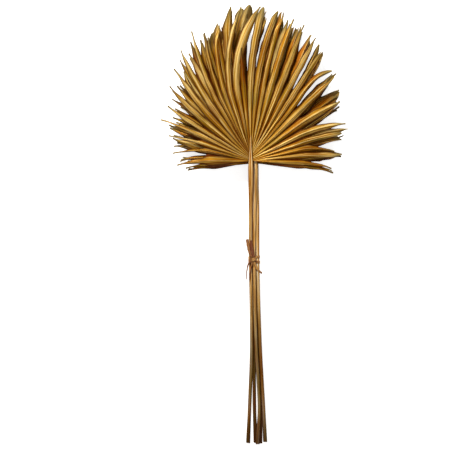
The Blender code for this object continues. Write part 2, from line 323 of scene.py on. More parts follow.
@dataclass(frozen=True)
class GoldLacqueredLeaf(Finish):
    """Dried palm leaf, air dried and then sprayed with a thin gold lacquer.

    Attributes:
        deep: painted shade down in the valleys between the folds, drawn as bare leaf.
        umber: leaf that the spray hardly reached, and leaf in painted shade under the fans above.
        bronze: thin lacquer.
        gold: full lacquer.
        pale: thick lacquer, and the painted highlight along the tops of the folds.
        rust: patches where the leaf shows red-brown through it.
        olive: patches where it shows green-brown.
        bare: the underside, bare leaf darkened by painted shade.
        dust: the tips.
        levels: how much lacquer makes umber, bronze, gold and pale.
        streaking: how strongly the streaks change the amount of lacquer.
        toning: how strongly a segment's own share of lacquer does.
        least: what is added to both.
        rusty: where rust shows, by the patches.
        mossy: where olive shows, by the patches.
        ridge: where the painted highlight on the top of a fold lies, from a segment's middle to its
            edge.
        valley: where the painted valley shade lies, from a segment's middle to its edge.
        tip: where the dusty tip is, from the hub on.
        under: where the underside and its painted shade are, by how far up the surface faces.
        roughness: of thin and of thick lacquer.
        metallic: how much of the lacquer is metal flake.
        ior: how strongly lacquer bends light.
        specular: how much of its gloss is left; dry fibres break it up, so that little of the
            pale surroundings shows in the dark parts.
        veining: how high the veins stand beside the streaks.
        depth: how strongly the relief shows, and how deep it is in millimetres.
        vein_mm: the spacing of the veins.
        streak_per_mm: noise waves per millimetre across, along and between segments.
        blotch_per_mm: the same for the patches.
    """

    name: str = "gold_lacquered_dried_palm_leaf"
    deep: str = "#4A1800"
    umber: str = "#763600"
    bronze: str = "#A06408"
    gold: str = "#C08E20"
    pale: str = "#F8D888"
    rust: str = "#985808"
    olive: str = "#87700E"
    bare: str = "#3A1E08"
    dust: str = "#7D7040"
    levels: tuple[float, ...] = (0.34, 0.55, 0.74, 0.98)
    streaking: float = 2.15
    toning: float = 0.5
    least: float = -0.66
    rusty: Fade = Fade(0.55, 0.68, 0.0, 0.62)
    mossy: Fade = Fade(0.30, 0.46, 0.65, 0.0)
    ridge: Fade = Fade(0.03, 0.17, 1.0, 0.0)
    valley: Fade = Fade(0.46, 0.96, 0.0, 0.93)
    tip: Fade = Fade(0.86, 1.0, 0.0, 0.8)
    under: Fade = Fade(-0.35, 0.10, 0.85, 0.0)
    roughness: Fade = Fade(0.0, 1.0, 0.58, 0.42)
    metallic: float = 0.32
    ior: float = 1.5
    specular: float = 0.08
    veining: float = 0.3
    depth: Pair = (0.55, 0.35)
    vein_mm: float = 2.6
    streak_per_mm: Triple = (0.34, 0.008, 1.0)
    blotch_per_mm: Triple = (0.05, 0.014, 1.0)

    def make(self) -> Material:
        """Builds the material.

        Returns:
            The material, which reads the leaf_place and leaf_mm attributes.
        """
        # To the eye: satin gold with long streaks, a painted highlight along the raised folds,
        # painted shade in the valleys and on the undersides, and grey dusty tips.
        material, tree, shader = self.start({
            "Metallic": self.metallic, "IOR": self.ior, "Specular IOR Level": self.specular})
        place = add_node(tree, "Attribute", {"attribute_name": "leaf_place"}).outputs["Vector"]
        across, share, tone = add_node(tree, "SeparateXYZ", inputs={0: place}).outputs
        lengths = add_node(tree, "Attribute", {"attribute_name": "leaf_mm"}).outputs["Vector"]
        streaks = self.grain(tree, lengths, self.streak_per_mm, 3.0)
        blotches = self.grain(tree, lengths, self.blotch_per_mm, 2.0)
        edge = add_node(tree, "Math", {"operation": "ABSOLUTE"}, {0: across}).outputs[0]
        facing = add_node(tree, "NewGeometry").outputs["Normal"]
        up = add_node(tree, "SeparateXYZ", inputs={0: facing}).outputs[2]

        base = add_node(tree, "Math", {"operation": "MULTIPLY_ADD"},
                        {0: tone, 1: self.toning, 2: self.least})
        level = add_node(tree, "Math", {"operation": "MULTIPLY_ADD"},
                         {0: streaks, 1: self.streaking, 2: base.outputs[0]})
        lacquer = (self.umber, self.bronze, self.gold, self.pale)
        coat = add_node(tree, "ValToRGB", inputs={0: level.outputs[0]},
                        stops=tuple(zip(self.levels, lacquer))).outputs[0]
        coat = self.cover(tree, coat, blotches, self.rusty, self.rust)
        coat = self.cover(tree, coat, blotches, self.mossy, self.olive)
        # Painted highlight: a pale line along each fold's top, where the light catches it.
        coat = self.cover(tree, coat, edge, self.ridge, self.pale, strength=tone)
        # Painted shade: the valleys between the folds are darkened towards each segment's edges.
        coat = self.cover(tree, coat, edge, self.valley, self.deep)
        coat = self.cover(tree, coat, share, self.tip, self.dust)
        # Painted shade: faces that look down or to the side take the dark underside colour.
        coat = self.cover(tree, coat, up, self.under, self.bare)
        tree.links.new(coat, shader.inputs["Base Color"])
        rough = add_node(tree, "MapRange", inputs=self.roughness.sockets(streaks))
        tree.links.new(rough.outputs[0], shader.inputs["Roughness"])

        # Real veins lie about 1 mm apart; they are drawn coarser so that they show.
        across_mm = add_node(tree, "SeparateXYZ", inputs={0: lengths}).outputs[0]
        turns = add_node(tree, "Math", {"operation": "MULTIPLY"},
                         {0: across_mm, 1: math.tau / self.vein_mm})
        wave = add_node(tree, "Math", {"operation": "SINE"}, {0: turns.outputs[0]})
        relief = add_node(tree, "Math", {"operation": "MULTIPLY_ADD"},
                          {0: wave.outputs[0], 1: self.veining, 2: streaks})
        self.emboss(tree, shader, relief.outputs[0], self.depth)
        return material


@dataclass(frozen=True)
class LacqueredStalk(Finish):
    """Dried leafstalk under the same sprayed lacquer, handled bare towards its cut end.

    Attributes:
        deep: the bottoms of the grooves between fibres.
        bronze: thin lacquer.
        gold: full lacquer.
        pale: thick lacquer.
        shaded_flank: the sides: painted shade, and stalk that the spray missed.
        lower: bare stalk.
        red: bare stalk where it has rubbed.
        cut: the darkened end.
        levels: how far up the fibres deep, bronze, gold and pale lie.
        side: where the painted shade on the sides begins, by how far up the skin faces.
        worn: how much lacquer has gone, by the wear.
        patchy: how strongly the wear varies.
        bare_levels: how much wear makes lower and red.
        worn_from: where along the stalk the lacquer starts to thin, in millimetres from the hub.
        worn_to: where it has all gone.
        end: where the darkened end is, likewise.
        roughness: of the grooves and of the fibres.
        metallic: how much of the lacquer is metal flake.
        ior: how strongly lacquer bends light.
        specular: how much of its gloss is left, as on the leaf.
        depth: how strongly the relief shows, and how deep it is in millimetres.
        fibre_per_mm: noise waves per millimetre round, along and between stalks.
        wear_per_mm: the same for the wear.
    """

    name: str = "gold_lacquered_leafstalk"
    deep: str = "#622C00"
    bronze: str = "#A6640E"
    gold: str = "#F2C070"
    pale: str = "#FFF2D0"
    shaded_flank: str = "#602A00"
    lower: str = "#52400F"
    red: str = "#643410"
    cut: str = "#2E1B0A"
    levels: tuple[float, ...] = (0.32, 0.42, 0.53, 0.66)
    side: Fade = Fade(0.30, 0.90, 0.95, 0.0)
    worn: Fade = Fade(0.55, 1.30, 0.0, 0.80)
    patchy: float = 0.9
    bare_levels: Pair = (0.44, 0.60)
    worn_from: float = -120.0
    worn_to: float = -330.0
    end: Fade = Fade(-448.0, -395.0, 0.6, 0.0)
    roughness: Fade = Fade(0.0, 1.0, 0.56, 0.40)
    metallic: float = 0.2
    ior: float = 1.5
    specular: float = 0.05
    depth: Pair = (0.5, 0.3)
    fibre_per_mm: Triple = (0.28, 0.008, 1.0)
    wear_per_mm: Triple = (0.12, 0.012, 1.0)

    def make(self) -> Material:
        """Builds the material.

        Returns:
            The material, which reads the stalk_mm and stalk_lit_crest attributes.
        """
        # To the eye: long fibrous streaks of bright gold by the leaf with painted shade down the
        # sides, giving way to olive brown and reddish bare stalk where hands have rubbed it, and
        # nearly black at the cut.
        material, tree, shader = self.start({
            "Metallic": self.metallic, "IOR": self.ior, "Specular IOR Level": self.specular})
        lengths = add_node(tree, "Attribute", {"attribute_name": "stalk_mm"}).outputs["Vector"]
        down = add_node(tree, "SeparateXYZ", inputs={0: lengths}).outputs[1]
        lit_crest = add_node(tree, "Attribute", {"attribute_name": "stalk_lit_crest"}).outputs["Fac"]
        streaks = self.grain(tree, lengths, self.fibre_per_mm, 3.0)
        wear = self.grain(tree, lengths, self.wear_per_mm, 2.0)
        lacquer = (self.deep, self.bronze, self.gold, self.pale)
        coat = add_node(tree, "ValToRGB", inputs={0: streaks},
                        stops=tuple(zip(self.levels, lacquer))).outputs[0]
        # Painted shade: the sides, which face away from the light, take the dark flank colour.
        coat = self.cover(tree, coat, lit_crest, self.side, self.shaded_flank)

        handled = Fade(self.worn_to, self.worn_from, 1.0, 0.0)
        reach = add_node(tree, "MapRange", inputs=handled.sockets(down))
        worn = add_node(tree, "Math", {"operation": "MULTIPLY_ADD"},
                        {0: wear, 1: self.patchy, 2: reach.outputs[0]})
        gone = add_node(tree, "MapRange", inputs=self.worn.sockets(worn.outputs[0]))
        bare = add_node(tree, "ValToRGB", inputs={0: wear},
                        stops=tuple(zip(self.bare_levels, (self.lower, self.red))))
        coat = add_node(tree, "Mix", COLOURS, {0: gone.outputs[0], 6: coat, 7: bare.outputs[0]})
        coat = self.cover(tree, coat.outputs[2], down, self.end, self.cut)
        tree.links.new(coat, shader.inputs["Base Color"])
        rough = add_node(tree, "MapRange", inputs=self.roughness.sockets(streaks))
        tree.links.new(rough.outputs[0], shader.inputs["Roughness"])
        self.emboss(tree, shader, streaks, self.depth)
        return material


@dataclass(frozen=True)
class DryRaffia(Finish):
    """Raffia palm leaf, split into strips by hand and dried.

    Attributes:
        dark: the gaps between fibres.
        brown: the fibres' shaded sides.
        tan: the fibres.
        red: the leaf's outer skin.
        levels: how far up the fibres dark, brown and tan lie.
        roughness: how matt it is.
        depth: how strongly the relief shows, and how deep it is in millimetres.
        fibre_per_mm: noise waves per millimetre across, along and between strips.
    """

    name: str = "dry_raffia_strip"
    dark: str = "#4E260C"
    brown: str = "#935C26"
    tan: str = "#D2A15A"
    red: str = "#6E2E12"
    levels: tuple[float, ...] = (0.30, 0.46, 0.62)
    roughness: float = 0.72
    depth: Pair = (0.7, 0.25)
    fibre_per_mm: Triple = (0.8, 0.03, 1.0)

    def make(self) -> Material:
        """Builds the material.

        Returns:
            The material, which reads the strip_mm and strip_red attributes.
        """
        # To the eye: matt tan ribbon with fine lengthways fibres, red-brown where it was the
        # leaf's outer side.
        material, tree, shader = self.start({"Roughness": self.roughness})
        lengths = add_node(tree, "Attribute", {"attribute_name": "strip_mm"}).outputs["Vector"]
        streaks = self.grain(tree, lengths, self.fibre_per_mm, 4.0)
        colour = add_node(tree, "ValToRGB", inputs={0: streaks},
                          stops=tuple(zip(self.levels, (self.dark, self.brown, self.tan))))
        outer = add_node(tree, "Attribute", {"attribute_name": "strip_red"})
        colour = add_node(tree, "Mix", COLOURS, {
            0: outer.outputs["Fac"], 6: colour.outputs[0], 7: srgb(self.red)})
        tree.links.new(colour.outputs[2], shader.inputs["Base Color"])
        self.emboss(tree, shader, streaks, self.depth)
        return material


@dataclass(frozen=True)
class PaperSweep(Finish):
    """White background paper, calendered smooth.

    Attributes:
        white: its colour.
        roughness: how matt it is.
        glow: how much the paper adds to its own light, so that it stays white under the bunch.
        tooth_per_m: how many waves of tooth there are in a metre; real tooth is finer.
        depth: how strongly the tooth shows, and how deep it is in millimetres.
    """

    name: str = "white_paper_sweep"
    white: str = "#FBFBFA"
    roughness: float = 0.9
    glow: float = 0.8
    tooth_per_m: float = 900.0
    depth: Pair = (0.1, 0.1)

    def make(self) -> Material:
        """Builds the material.

        Returns:
            The material.
        """
        # To the eye: even white, matt, with the faintest tooth.
        material, tree, shader = self.start({
            "Base Color": srgb(self.white), "Roughness": self.roughness,
            "Emission Color": srgb(self.white), "Emission Strength": self.glow})
        tooth = add_node(tree, "TexNoise", inputs={"Scale": self.tooth_per_m, "Detail": 2.0})
        self.emboss(tree, shader, tooth.outputs[0], self.depth)
        return material


# ---------------------------------------------------------------- the fan blades


class TipStyle(Enum):
    """How a leaf segment ends: its point's length in millimetres and how full that point is."""

    POINTED = (36.0, 0.8)
    BLUNT = (13.0, 0.5)
    FORKED = (9.0, 0.3)
    WHIP = (62.0, 0.8)

    def taper(self, left: float) -> float:
        """The share of its full width that a segment keeps, that many millimetres from its tip."""
        length, fullness = self.value
        return clamp(left / length) ** fullness


@dataclass(frozen=True)
class Lobe:
    """How one segment of a fan lies, in degrees and millimetres from the hub.

    Attributes:
        edge: the direction of its anticlockwise edge where it is joined.
        heading: the direction of its tip.
        reach: how far out its tip is.
        style: how it ends.
        tone: how much lacquer it carries, from 0 to 1.
        breadth: its width as a share of the usual one.
        hook: how far its tip swings clockwise at the end.
    """

    edge: float
    heading: float
    reach: float
    style: TipStyle = TipStyle.POINTED
    tone: float = 0.6
    breadth: float = 1.0
    hook: float = 0.0


# How far the fans reach in each direction: (degrees, millimetres).
OUTLINE = (
    (-8.0, 124.0), (0.0, 131.0), (6.0, 143.0), (14.0, 150.0), (22.0, 160.0), (28.0, 164.0),
    (35.0, 172.0), (42.0, 184.0), (50.0, 196.0), (57.0, 207.0), (63.0, 221.0), (70.0, 232.0),
    (78.0, 243.0), (84.0, 244.0), (90.0, 249.0), (98.0, 249.0), (103.0, 231.0), (110.0, 222.0),
    (116.0, 226.0), (122.0, 208.0), (129.0, 191.0), (138.0, 175.0), (144.0, 160.0),
    (150.0, 158.0), (155.0, 156.0), (161.0, 143.0), (168.0, 132.0), (176.0, 124.0),
    (184.0, 118.0), (192.0, 102.0),
)

# The top fan, segment by segment from the right.
TOP_FIRST_EDGE = -6.0
TOP_LOBES = (
    Lobe(2.0, -4.3, 129.0, tone=0.3, breadth=0.75),
    Lobe(9.0, 3.2, 143.0, TipStyle.BLUNT, 0.8, 1.1),
    Lobe(15.9, 6.8, 134.0, tone=0.3),
    Lobe(23.2, 16.3, 151.0, TipStyle.BLUNT, 0.7),
    Lobe(31.9, 21.3, 162.0, tone=0.8),
    Lobe(41.5, 33.4, 170.0, tone=0.7),
    Lobe(49.7, 44.6, 188.0, tone=0.7, breadth=1.1),
    Lobe(54.3, 53.8, 190.0, TipStyle.BLUNT, 0.5, 1.3, 16.0),
    Lobe(59.6, 58.0, 208.0, TipStyle.FORKED, 0.75, 1.3),
    Lobe(65.3, 62.4, 221.0, tone=0.7, breadth=1.15),
    Lobe(71.6, 69.2, 232.0, TipStyle.WHIP, 0.6),
    Lobe(78.0, 73.6, 235.0, tone=0.75),
    Lobe(83.0, 77.9, 243.0, TipStyle.FORKED, tone=0.5),
    Lobe(88.0, 80.0, 242.0, TipStyle.BLUNT, 0.7, 1.2),
    Lobe(93.0, 85.1, 245.0, TipStyle.BLUNT, 0.85, 1.65),
    Lobe(98.0, 95.0, 180.0, tone=0.15, breadth=0.9),
    Lobe(104.0, 86.4, 246.0, tone=0.78, breadth=1.35),
    Lobe(110.0, 93.4, 245.0, tone=0.8),
    Lobe(113.8, 104.3, 226.0, TipStyle.FORKED, 0.8, 1.15),
    Lobe(117.4, 109.6, 215.0, tone=0.8, breadth=1.15),
    Lobe(122.5, 114.3, 226.0, tone=0.75),
    Lobe(129.5, 122.1, 208.0, tone=0.85),
    Lobe(136.2, 129.4, 190.0, tone=0.8),
    Lobe(144.2, 137.6, 175.0, tone=0.9),
    Lobe(150.4, 147.4, 158.0, tone=0.9),
    Lobe(156.4, 155.2, 157.0, TipStyle.WHIP, 0.85, 1.2),
    Lobe(164.0, 163.5, 136.0, TipStyle.WHIP, 0.8, 0.85),
    Lobe(170.5, 174.8, 124.0, tone=0.75, breadth=0.85),
    Lobe(189.5, 182.6, 117.0, TipStyle.WHIP, 0.5, 0.7),
)


@dataclass(frozen=True)
class Parting:
    """A place where the segments of every fan have parted, so that light comes through.

    Attributes:
        direction: where it is as seen from the top fan's hub, in degrees.
        opening: how far apart the tips on its two sides turn, in degrees.
        distance: how far out it is widest, in millimetres.
        width: how far its effect reaches, in degrees.
    """

    direction: float
    opening: float
    distance: float = 150.0
    width: float = 4.0

    def seen_from(self, offset: Vector) -> float:
        """Its direction as seen from another hub, that far from the top one."""
        place = polar(self.distance, self.direction) - offset
        return math.degrees(math.atan2(place.y, place.x))

    def turn(self, away: float) -> float:
        """How far it turns a segment that lies that many degrees from it."""
        return math.copysign(0.5 * self.opening, away) * math.exp(-abs(away) / self.width)


# From a direction on, in degrees, how often each kind of tip comes up.
TIP_WEIGHTS = (
    (118.0, {TipStyle.POINTED: 7.0, TipStyle.WHIP: 2.0}),
    (66.0, {TipStyle.POINTED: 5.0, TipStyle.BLUNT: 4.0, TipStyle.FORKED: 1.0}),
    (-math.inf, {TipStyle.POINTED: 5.0, TipStyle.BLUNT: 2.0, TipStyle.FORKED: 1.0}),
)


@dataclass(frozen=True)
class LowerFan:
    """The segments of a fan under the top one, which vary at random but share its partings.

    Attributes:
        count: how many segments it has.
        turn: how far the whole fan is turned, in degrees.
        size: its size as a share of the outline.
        seed: the seed of its variation.
        tone: its lacquer as a share of the top fan's, less for fans lower down, which also
        paints shade on them.
        offset: where its hub is from the top fan's.
        special: one segment that stands out past the top fan, or None.
        middle: the direction of its middle before it is turned.
        half_spread: how far it spreads to each side.
        crowding: how much closer its segments lie at its middle, as a share.
        jitter: how far an edge strays, in segments.
        narrowest: the least angle between two edges.
        sway: how far the segments turn from straight out, by direction.
        joined_sway: the share of that turn that the edges already have where they are joined.
        stray: how far a segment's own turn strays from it.
        reaches: how far its segments reach, as shares of the outline.
        tones: how much lacquer they carry, as shares of the fan's.
        breadths: how wide they are, as shares of the usual width.
        sides: how far from the middle the change to the small outer segments begins and ends.
        side_tone: what the outer segments' lacquer is multiplied by.
        side_breadth: what their breadth is multiplied by.
        partings: the places where its segments have parted.
    """

    count: int
    turn: float
    size: float
    seed: int
    tone: float
    offset: Vector
    special: Lobe | None = None
    middle: float = 92.3
    half_spread: float = 97.0
    crowding: float = 0.25
    jitter: float = 0.14
    narrowest: float = 2.6
    sway: Sequence[Pair] = (
        (-10.0, -1.5), (17.0, -3.0), (28.0, -5.0), (38.0, -2.0), (54.0, 1.0), (68.0, 0.0),
        (80.0, -2.5), (92.0, -5.0), (106.0, -7.0), (118.0, -5.0), (133.0, -3.0), (152.0, 1.0),
        (190.0, 2.0),
    )
    joined_sway: float = 0.4
    stray: float = 0.8
    reaches: Pair = (0.95, 1.03)
    tones: Pair = (0.2, 1.0)
    breadths: Pair = (1.15, 1.45)
    sides: Pair = (78.0, 92.0)
    side_tone: float = 0.3
    side_breadth: float = 0.65
    partings: Sequence[Parting] = (
        Parting(-1.2, 5.0, 105.0), Parting(11.8, 5.0, 130.0), Parting(27.8, 5.0, 140.0),
        Parting(50.6, 6.0, 150.0), Parting(60.4, 2.5, 180.0), Parting(87.2, 5.0, 185.0, 2.5),
        Parting(91.4, 5.0, 180.0, 2.5), Parting(171.5, 6.0, 90.0),
    )

    def direction(self, place: float) -> float:
        """The direction at a place across the fan, whose segments crowd at its middle.

        Args:
            place: how many segments in from its first edge the place is.

        Returns:
            The direction, in degrees.
        """
        off = 2.0 * place / self.count - 1.0
        stretch = 1.0 - self.crowding + self.crowding * off * off
        return self.middle + self.turn + self.half_spread * off * stretch

    def edges(self, rng: random.Random) -> list[float]:
        """Draws the directions of the edges and puts one at each parting.

        Args:
            rng: the fan's own generator.

        Returns:
            The directions, from the right.
        """
        edges = [self.direction(n + rng.uniform(-self.jitter, self.jitter))
                 for n in range(self.count + 1)]
        edges[0] = self.direction(0.0)
        taken = set()
        for parting in self.partings:
            target = parting.seen_from(self.offset)
            target -= self.joined_sway * interpolate(self.sway, target)
            free = [n for n in range(1, self.count) if n not in taken]
            nearest = min(free, key=lambda n: abs(edges[n] - target))
            edges[nearest] = target
            taken.add(nearest)
        edges.sort()
        for n in range(1, self.count + 1):
            edges[n] = max(edges[n], edges[n - 1] + self.narrowest)
        return edges

    def lobes(self) -> list[Lobe]:
        """Draws the segments.

        Returns:
            The segments, from the right.
        """
        rng = random.Random(self.seed)
        edges = self.edges(rng)
        made = []
        for low, high in zip(edges, edges[1:]):
            centre = 0.5 * (low + high)
            turn = interpolate(self.sway, centre) + rng.uniform(-self.stray, self.stray)
            turn += sum(p.turn(centre - p.seen_from(self.offset)) for p in self.partings)
            weights = next(found for start, found in TIP_WEIGHTS if centre > start)
            style = rng.choices(list(weights), list(weights.values()))[0]
            reach = self.size * interpolate(OUTLINE, centre + turn) * rng.uniform(*self.reaches)
            outer = smoothstep(*self.sides, abs(centre - self.middle))
            tone = self.tone * rng.uniform(*self.tones) * mix(1.0, self.side_tone, outer)
            breadth = rng.uniform(*self.breadths) * mix(1.0, self.side_breadth, outer)
            made.append(Lobe(high, centre + turn, reach, style, tone, breadth))
        if self.special:
            nearest = min(range(self.count), key=lambda n: abs(made[n].edge - self.special.edge))
            made[nearest] = replace(self.special, edge=made[nearest].edge)
        return made


@dataclass(frozen=True)
class Segment:
    """A lobe's own small irregularities, in millimetres and degrees.

    Attributes:
        centre: the direction of its ridge where it is joined.
        turn: how far its tip has turned from there.
        hook: how far the tip swings sideways at the end.
        lift: how far the whole free part rises.
        curl: how far the tip rises at the end.
        twist: how far the tip has rolled about its own length.
        slope: how steep its two sides are.
        notch: how deep its fork is, where it has one.
        swell: how much it widens half way.
        crinkle: where its waves start.
        slender: how much narrower than its joined part it ends.
        creases: how high the drying crease stands along its left and right sides.
    """

    centre: float
    turn: float
    hook: float
    lift: float
    curl: float
    twist: float
    slope: float
    notch: float
    swell: float
    crinkle: float
    slender: float
    creases: Pair


@dataclass(frozen=True)
class Variation:
    """How much the segments of a fan vary, in millimetres, degrees and shares.

    Attributes:
        depths: how deep a valley is, as a share of the usual depth.
        splits: how far out two segments part, likewise.
        hook: how much the sideways swing of a tip varies.
        lifts: how far a free part rises.
        stagger: what is added to that for every other segment, and for the ones between.
        curl: how far a tip rises as a rule, and how much that varies.
        twist: how much the roll of a tip varies.
        slopes: how steep the sides of a segment are.
        hollow: what the slope is multiplied by where a segment has dried inside out.
        notches: how deep a fork is.
        swells: how much a segment widens half way.
        slender: how much narrower a segment ends, on the right and on the left.
        slender_turn: the directions between which the first gives way to the second.
        creases: how high a drying crease stands.
    """

    depths: Pair = (0.85, 1.2)
    splits: Pair = (0.88, 1.10)
    hook: float = 2.0
    lifts: Pair = (-0.8, 0.8)
    stagger: Pair = (-0.4, 0.8)
    curl: Pair = (0.3, 1.8)
    twist: float = 20.0
    slopes: Pair = (36.0, 54.0)
    hollow: float = -0.85
    notches: Pair = (8.0, 18.0)
    swells: Pair = (-0.06, 0.10)
    slender: Pair = (0.05, 0.15)
    slender_turn: Pair = (100.0, 135.0)
    creases: Pair = (0.35, 0.75)


@dataclass
class FanBlade:
    """A pleated fan leaf: segments joined near the hub and free towards their tips.

    The segments count up from the right-hand side, and edge n is the one before segment n.
    A power says how late on its way to the tip a segment makes that change.

    Attributes:
        number: the frond's number.
        hub: where the blade starts.
        first_edge: the direction of its edge 0.
        lobes: how its segments lie.
        size: its size as a share of the outline.
        seed: the seed of its irregularities.
        shaded: how much of its lacquer shows near the hub, where other fans cover it; below 1
        it paints the shade that they cast there.
        inverted: how many of its segments have dried inside out, as a share.
        variation: how much its segments vary.
        costa_shift: how far up the costa the middle pleats start.
        costa_fade: the distance over which that wears off.
        inner: how far from the hub the blade begins.
        fold: how steep the joined pleats are, in degrees.
        folds_begin: where they begin to fold, at the sides and beside the costa.
        folds_rise: how far on from there they are fully folded.
        smooth_middle: the direction of the smooth part beside the costa.
        smooth_spread: how wide that part is, in degrees.
        left_turn: the directions between which the right half gives way to the left.
        split_shares: where segments part at the sides and at the top, as shares of their reach.
        parting_length: how far on from there they are fully apart.
        parting_start: how far on from there they begin to be.
        strap: how wide a free part is, as a share of its joined part.
        strapped: the share of a free part over which it takes on that width.
        settled: the share over which it takes on its own height and slope.
        slims: the shares between which it grows slender.
        sinks: how much of its ridge's height is gone at the tip.
        swell_rate: how much sooner than the tip its swelling ends, as a ratio.
        bend_power: the power of the bend to its heading.
        hook_power: the power of its sideways swing.
        curl_power: the power of its rise at the tip.
        roll_power: the power of its roll.
        arch_height: how high the blade arches.
        droop: how far it has sunk again at the tips.
        thickness: how thick the leaf is.
        least_width: the least half width of a segment.
        least_slope: the slope by which a segment's width is foreshortened at least, in degrees.
        wave: how far its rims wave.
        wave_per_mm: how fast they wave, in radians for each millimetre.
        lowest: how near the surface the blade may come.
        across: the places across a segment, from its left side to its right.
        joined_roundness: the power of a joined pleat's side, on the right and on the left.
        last_roundness: the same where the segments part.
        free_roundness: the same in the free part.
        crease_shape: the height of a drying crease, by the place on one side.
        creases_begin: where the creases begin, and where they are full.
        notch_from: the share of a free part from which a fork is split.
        notch_power: how sharp the fork is.
        shade_ends: the shares of its reach between which the shade ends.
        inner_tone: how much lacquer shows close to the hub.
        inner_ends: where that begins to grow, and where it is full.
        thin_middle: how much lacquer is missing beside the costa.
        thin_ends: where that begins to wear off, and where it is over.
        left_valley: the power of the left half's valleys, whose painted shade is drawn wider
        and painted highlight narrower there.
        apart: what tells the patterns of two segments and of two fans apart.
        joined_rows: how many rows of points the joined part has.
        free_rows: how many the free part has.
        row_power: how much closer the rows lie at the hub and at the tip.
        sharp: the angle from which a fold is drawn sharp, in degrees.
        edges: the directions of the edges.
        depths: how deep the valley at each edge is.
        splits: how far out the segments at each edge part.
        segments: the segments' irregularities.
    """

    number: int
    hub: Triple
    first_edge: float
    lobes: Sequence[Lobe]
    size: float
    seed: int
    shaded: float
    inverted: float
    variation: Variation = Variation()
    costa_shift: float = 12.0
    costa_fade: float = 32.0
    inner: float = 2.5
    fold: float = 44.0
    folds_begin: Pair = (8.0, 20.0)
    folds_rise: float = 24.0
    smooth_middle: float = 110.0
    smooth_spread: float = 20.0
    left_turn: Pair = (85.0, 125.0)
    split_shares: Pair = (0.55, 0.46)
    parting_length: float = 16.0
    parting_start: float = -3.0
    strap: float = 0.86
    strapped: float = 0.3
    settled: float = 0.6
    slims: Pair = (0.25, 0.95)
    sinks: float = 0.6
    swell_rate: float = 1.2
    bend_power: float = 1.3
    hook_power: float = 5.0
    curl_power: float = 4.0
    roll_power: float = 1.6
    arch_height: float = 6.0
    droop: float = 2.4
    thickness: float = 0.45
    least_width: float = 1.6
    least_slope: float = 32.0
    wave: float = 0.35
    wave_per_mm: float = 0.21
    lowest: float = 0.5
    across: Sequence[float] = (-1.0, -0.9, -0.62, -0.3, 0.0, 0.3, 0.62, 0.9, 1.0)
    joined_roundness: Pair = (1.6, 0.9)
    last_roundness: float = 1.15
    free_roundness: float = 0.95
    crease_shape: Sequence[Pair] = (
        (0.0, 0.0), (0.3, -0.5), (0.62, 1.0), (0.9, -0.3), (1.0, 0.0),
    )
    creases_begin: Pair = (30.0, 80.0)
    notch_from: float = 0.72
    notch_power: float = 1.2
    shade_ends: Pair = (0.5, 0.9)
    inner_tone: float = 0.72
    inner_ends: Pair = (70.0, 130.0)
    thin_middle: float = 0.6
    thin_ends: Pair = (25.0, 60.0)
    left_valley: float = 0.62
    apart: Pair = (37.0, 11.0)
    joined_rows: int = 12
    free_rows: int = 20
    row_power: float = 1.3
    sharp: float = 48.0
    edges: list[float] = field(default_factory=list)
    depths: list[float] = field(default_factory=list)
    splits: list[float] = field(default_factory=list)
    segments: list[Segment] = field(default_factory=list)

    def __post_init__(self) -> None:
        """Draws the fan's irregularities from its seed."""
        rng = random.Random(self.seed)
        self.edges = [self.first_edge] + [lobe.edge for lobe in self.lobes]
        for direction in self.edges:
            self.depths.append(rng.uniform(*self.variation.depths))
            rise = max(0.0, math.sin(math.radians(direction))) ** 2
            share = mix(*self.split_shares, rise) * rng.uniform(*self.variation.splits)
            self.splits.append(self.reach_at(direction) * share)
        for n in range(len(self.lobes)):
            self.segments.append(self.draw_segment(n, rng))

    def draw_segment(self, n: int, rng: random.Random) -> Segment:
        """Draws one segment's own irregularities.

        Args:
            n: its number, from the right.
            rng: the fan's own generator.

        Returns:
            The segment.
        """
        vary = self.variation
        centre = 0.5 * (self.edges[n] + self.edges[n + 1])
        return Segment(
            centre=centre,
            turn=self.lobes[n].heading - centre,
            hook=rng.gauss(0.0, vary.hook) + self.lobes[n].hook,
            lift=rng.uniform(*vary.lifts) + vary.stagger[n % 2],
            curl=rng.gauss(*vary.curl),
            twist=rng.gauss(0.0, vary.twist),
            slope=rng.uniform(*vary.slopes) * (vary.hollow if rng.random() < self.inverted else 1.0),
            notch=rng.uniform(*vary.notches),
            swell=rng.uniform(*vary.swells),
            crinkle=rng.uniform(0.0, math.tau),
            slender=mix(*vary.slender, smoothstep(*vary.slender_turn, centre)),
            creases=tuple(rng.choice((-1.0, 1.0)) * rng.uniform(*vary.creases) for _ in range(2)),
        )

    def reach_at(self, direction: float) -> float:
        """How far the fan reaches in that direction."""
        return self.size * interpolate(OUTLINE, direction)

    def arch(self, share: float) -> float:
        """The blade's height over its hub at that share of its reach."""
        return self.arch_height * math.sin(math.pi * min(share, 1.0)) - self.droop * share * share

    def root(self, n: int) -> float:
        """Where segment n's free part begins along its ridge."""
        return 0.5 * (self.splits[n] + self.splits[n + 1])

    def left_half(self, direction: float) -> float:
        """0 right of the costa and 1 left of it, with a smooth change between."""
        return smoothstep(*self.left_turn, direction)

    def fold_at(self, radius: float, direction: float) -> float:
        """The joined pleats' slope, which starts further out beside the costa.

        Args:
            radius: the distance from the hub.
            direction: the direction from the hub.

        Returns:
            The slope, in radians.
        """
        off = (direction - self.smooth_middle) / self.smooth_spread
        begin = mix(*self.folds_begin, math.exp(-off * off))
        return math.radians(self.fold) * smoothstep(begin, begin + self.folds_rise, radius)

    def base_point(self, radius: float, direction: float) -> Vector:
        """A point of the smooth blade, whose pleats start from the costa near its middle.

        Args:
            radius: the distance from the hub.
            direction: the direction from the hub.

        Returns:
            The point, from the hub.
        """
        rise = max(0.0, math.sin(math.radians(direction))) ** 2
        point = polar(radius, direction)
        point.y += self.costa_shift * rise * math.exp(-radius / self.costa_fade)
        point.z = self.arch(radius / self.reach_at(direction))
        return point

    def half_angle(self, low: int, high: int) -> float:
        """Half the mean angle between neighbours from edge low to edge high, in radians."""
        return 0.5 * math.radians((self.edges[high] - self.edges[low]) / (high - low))

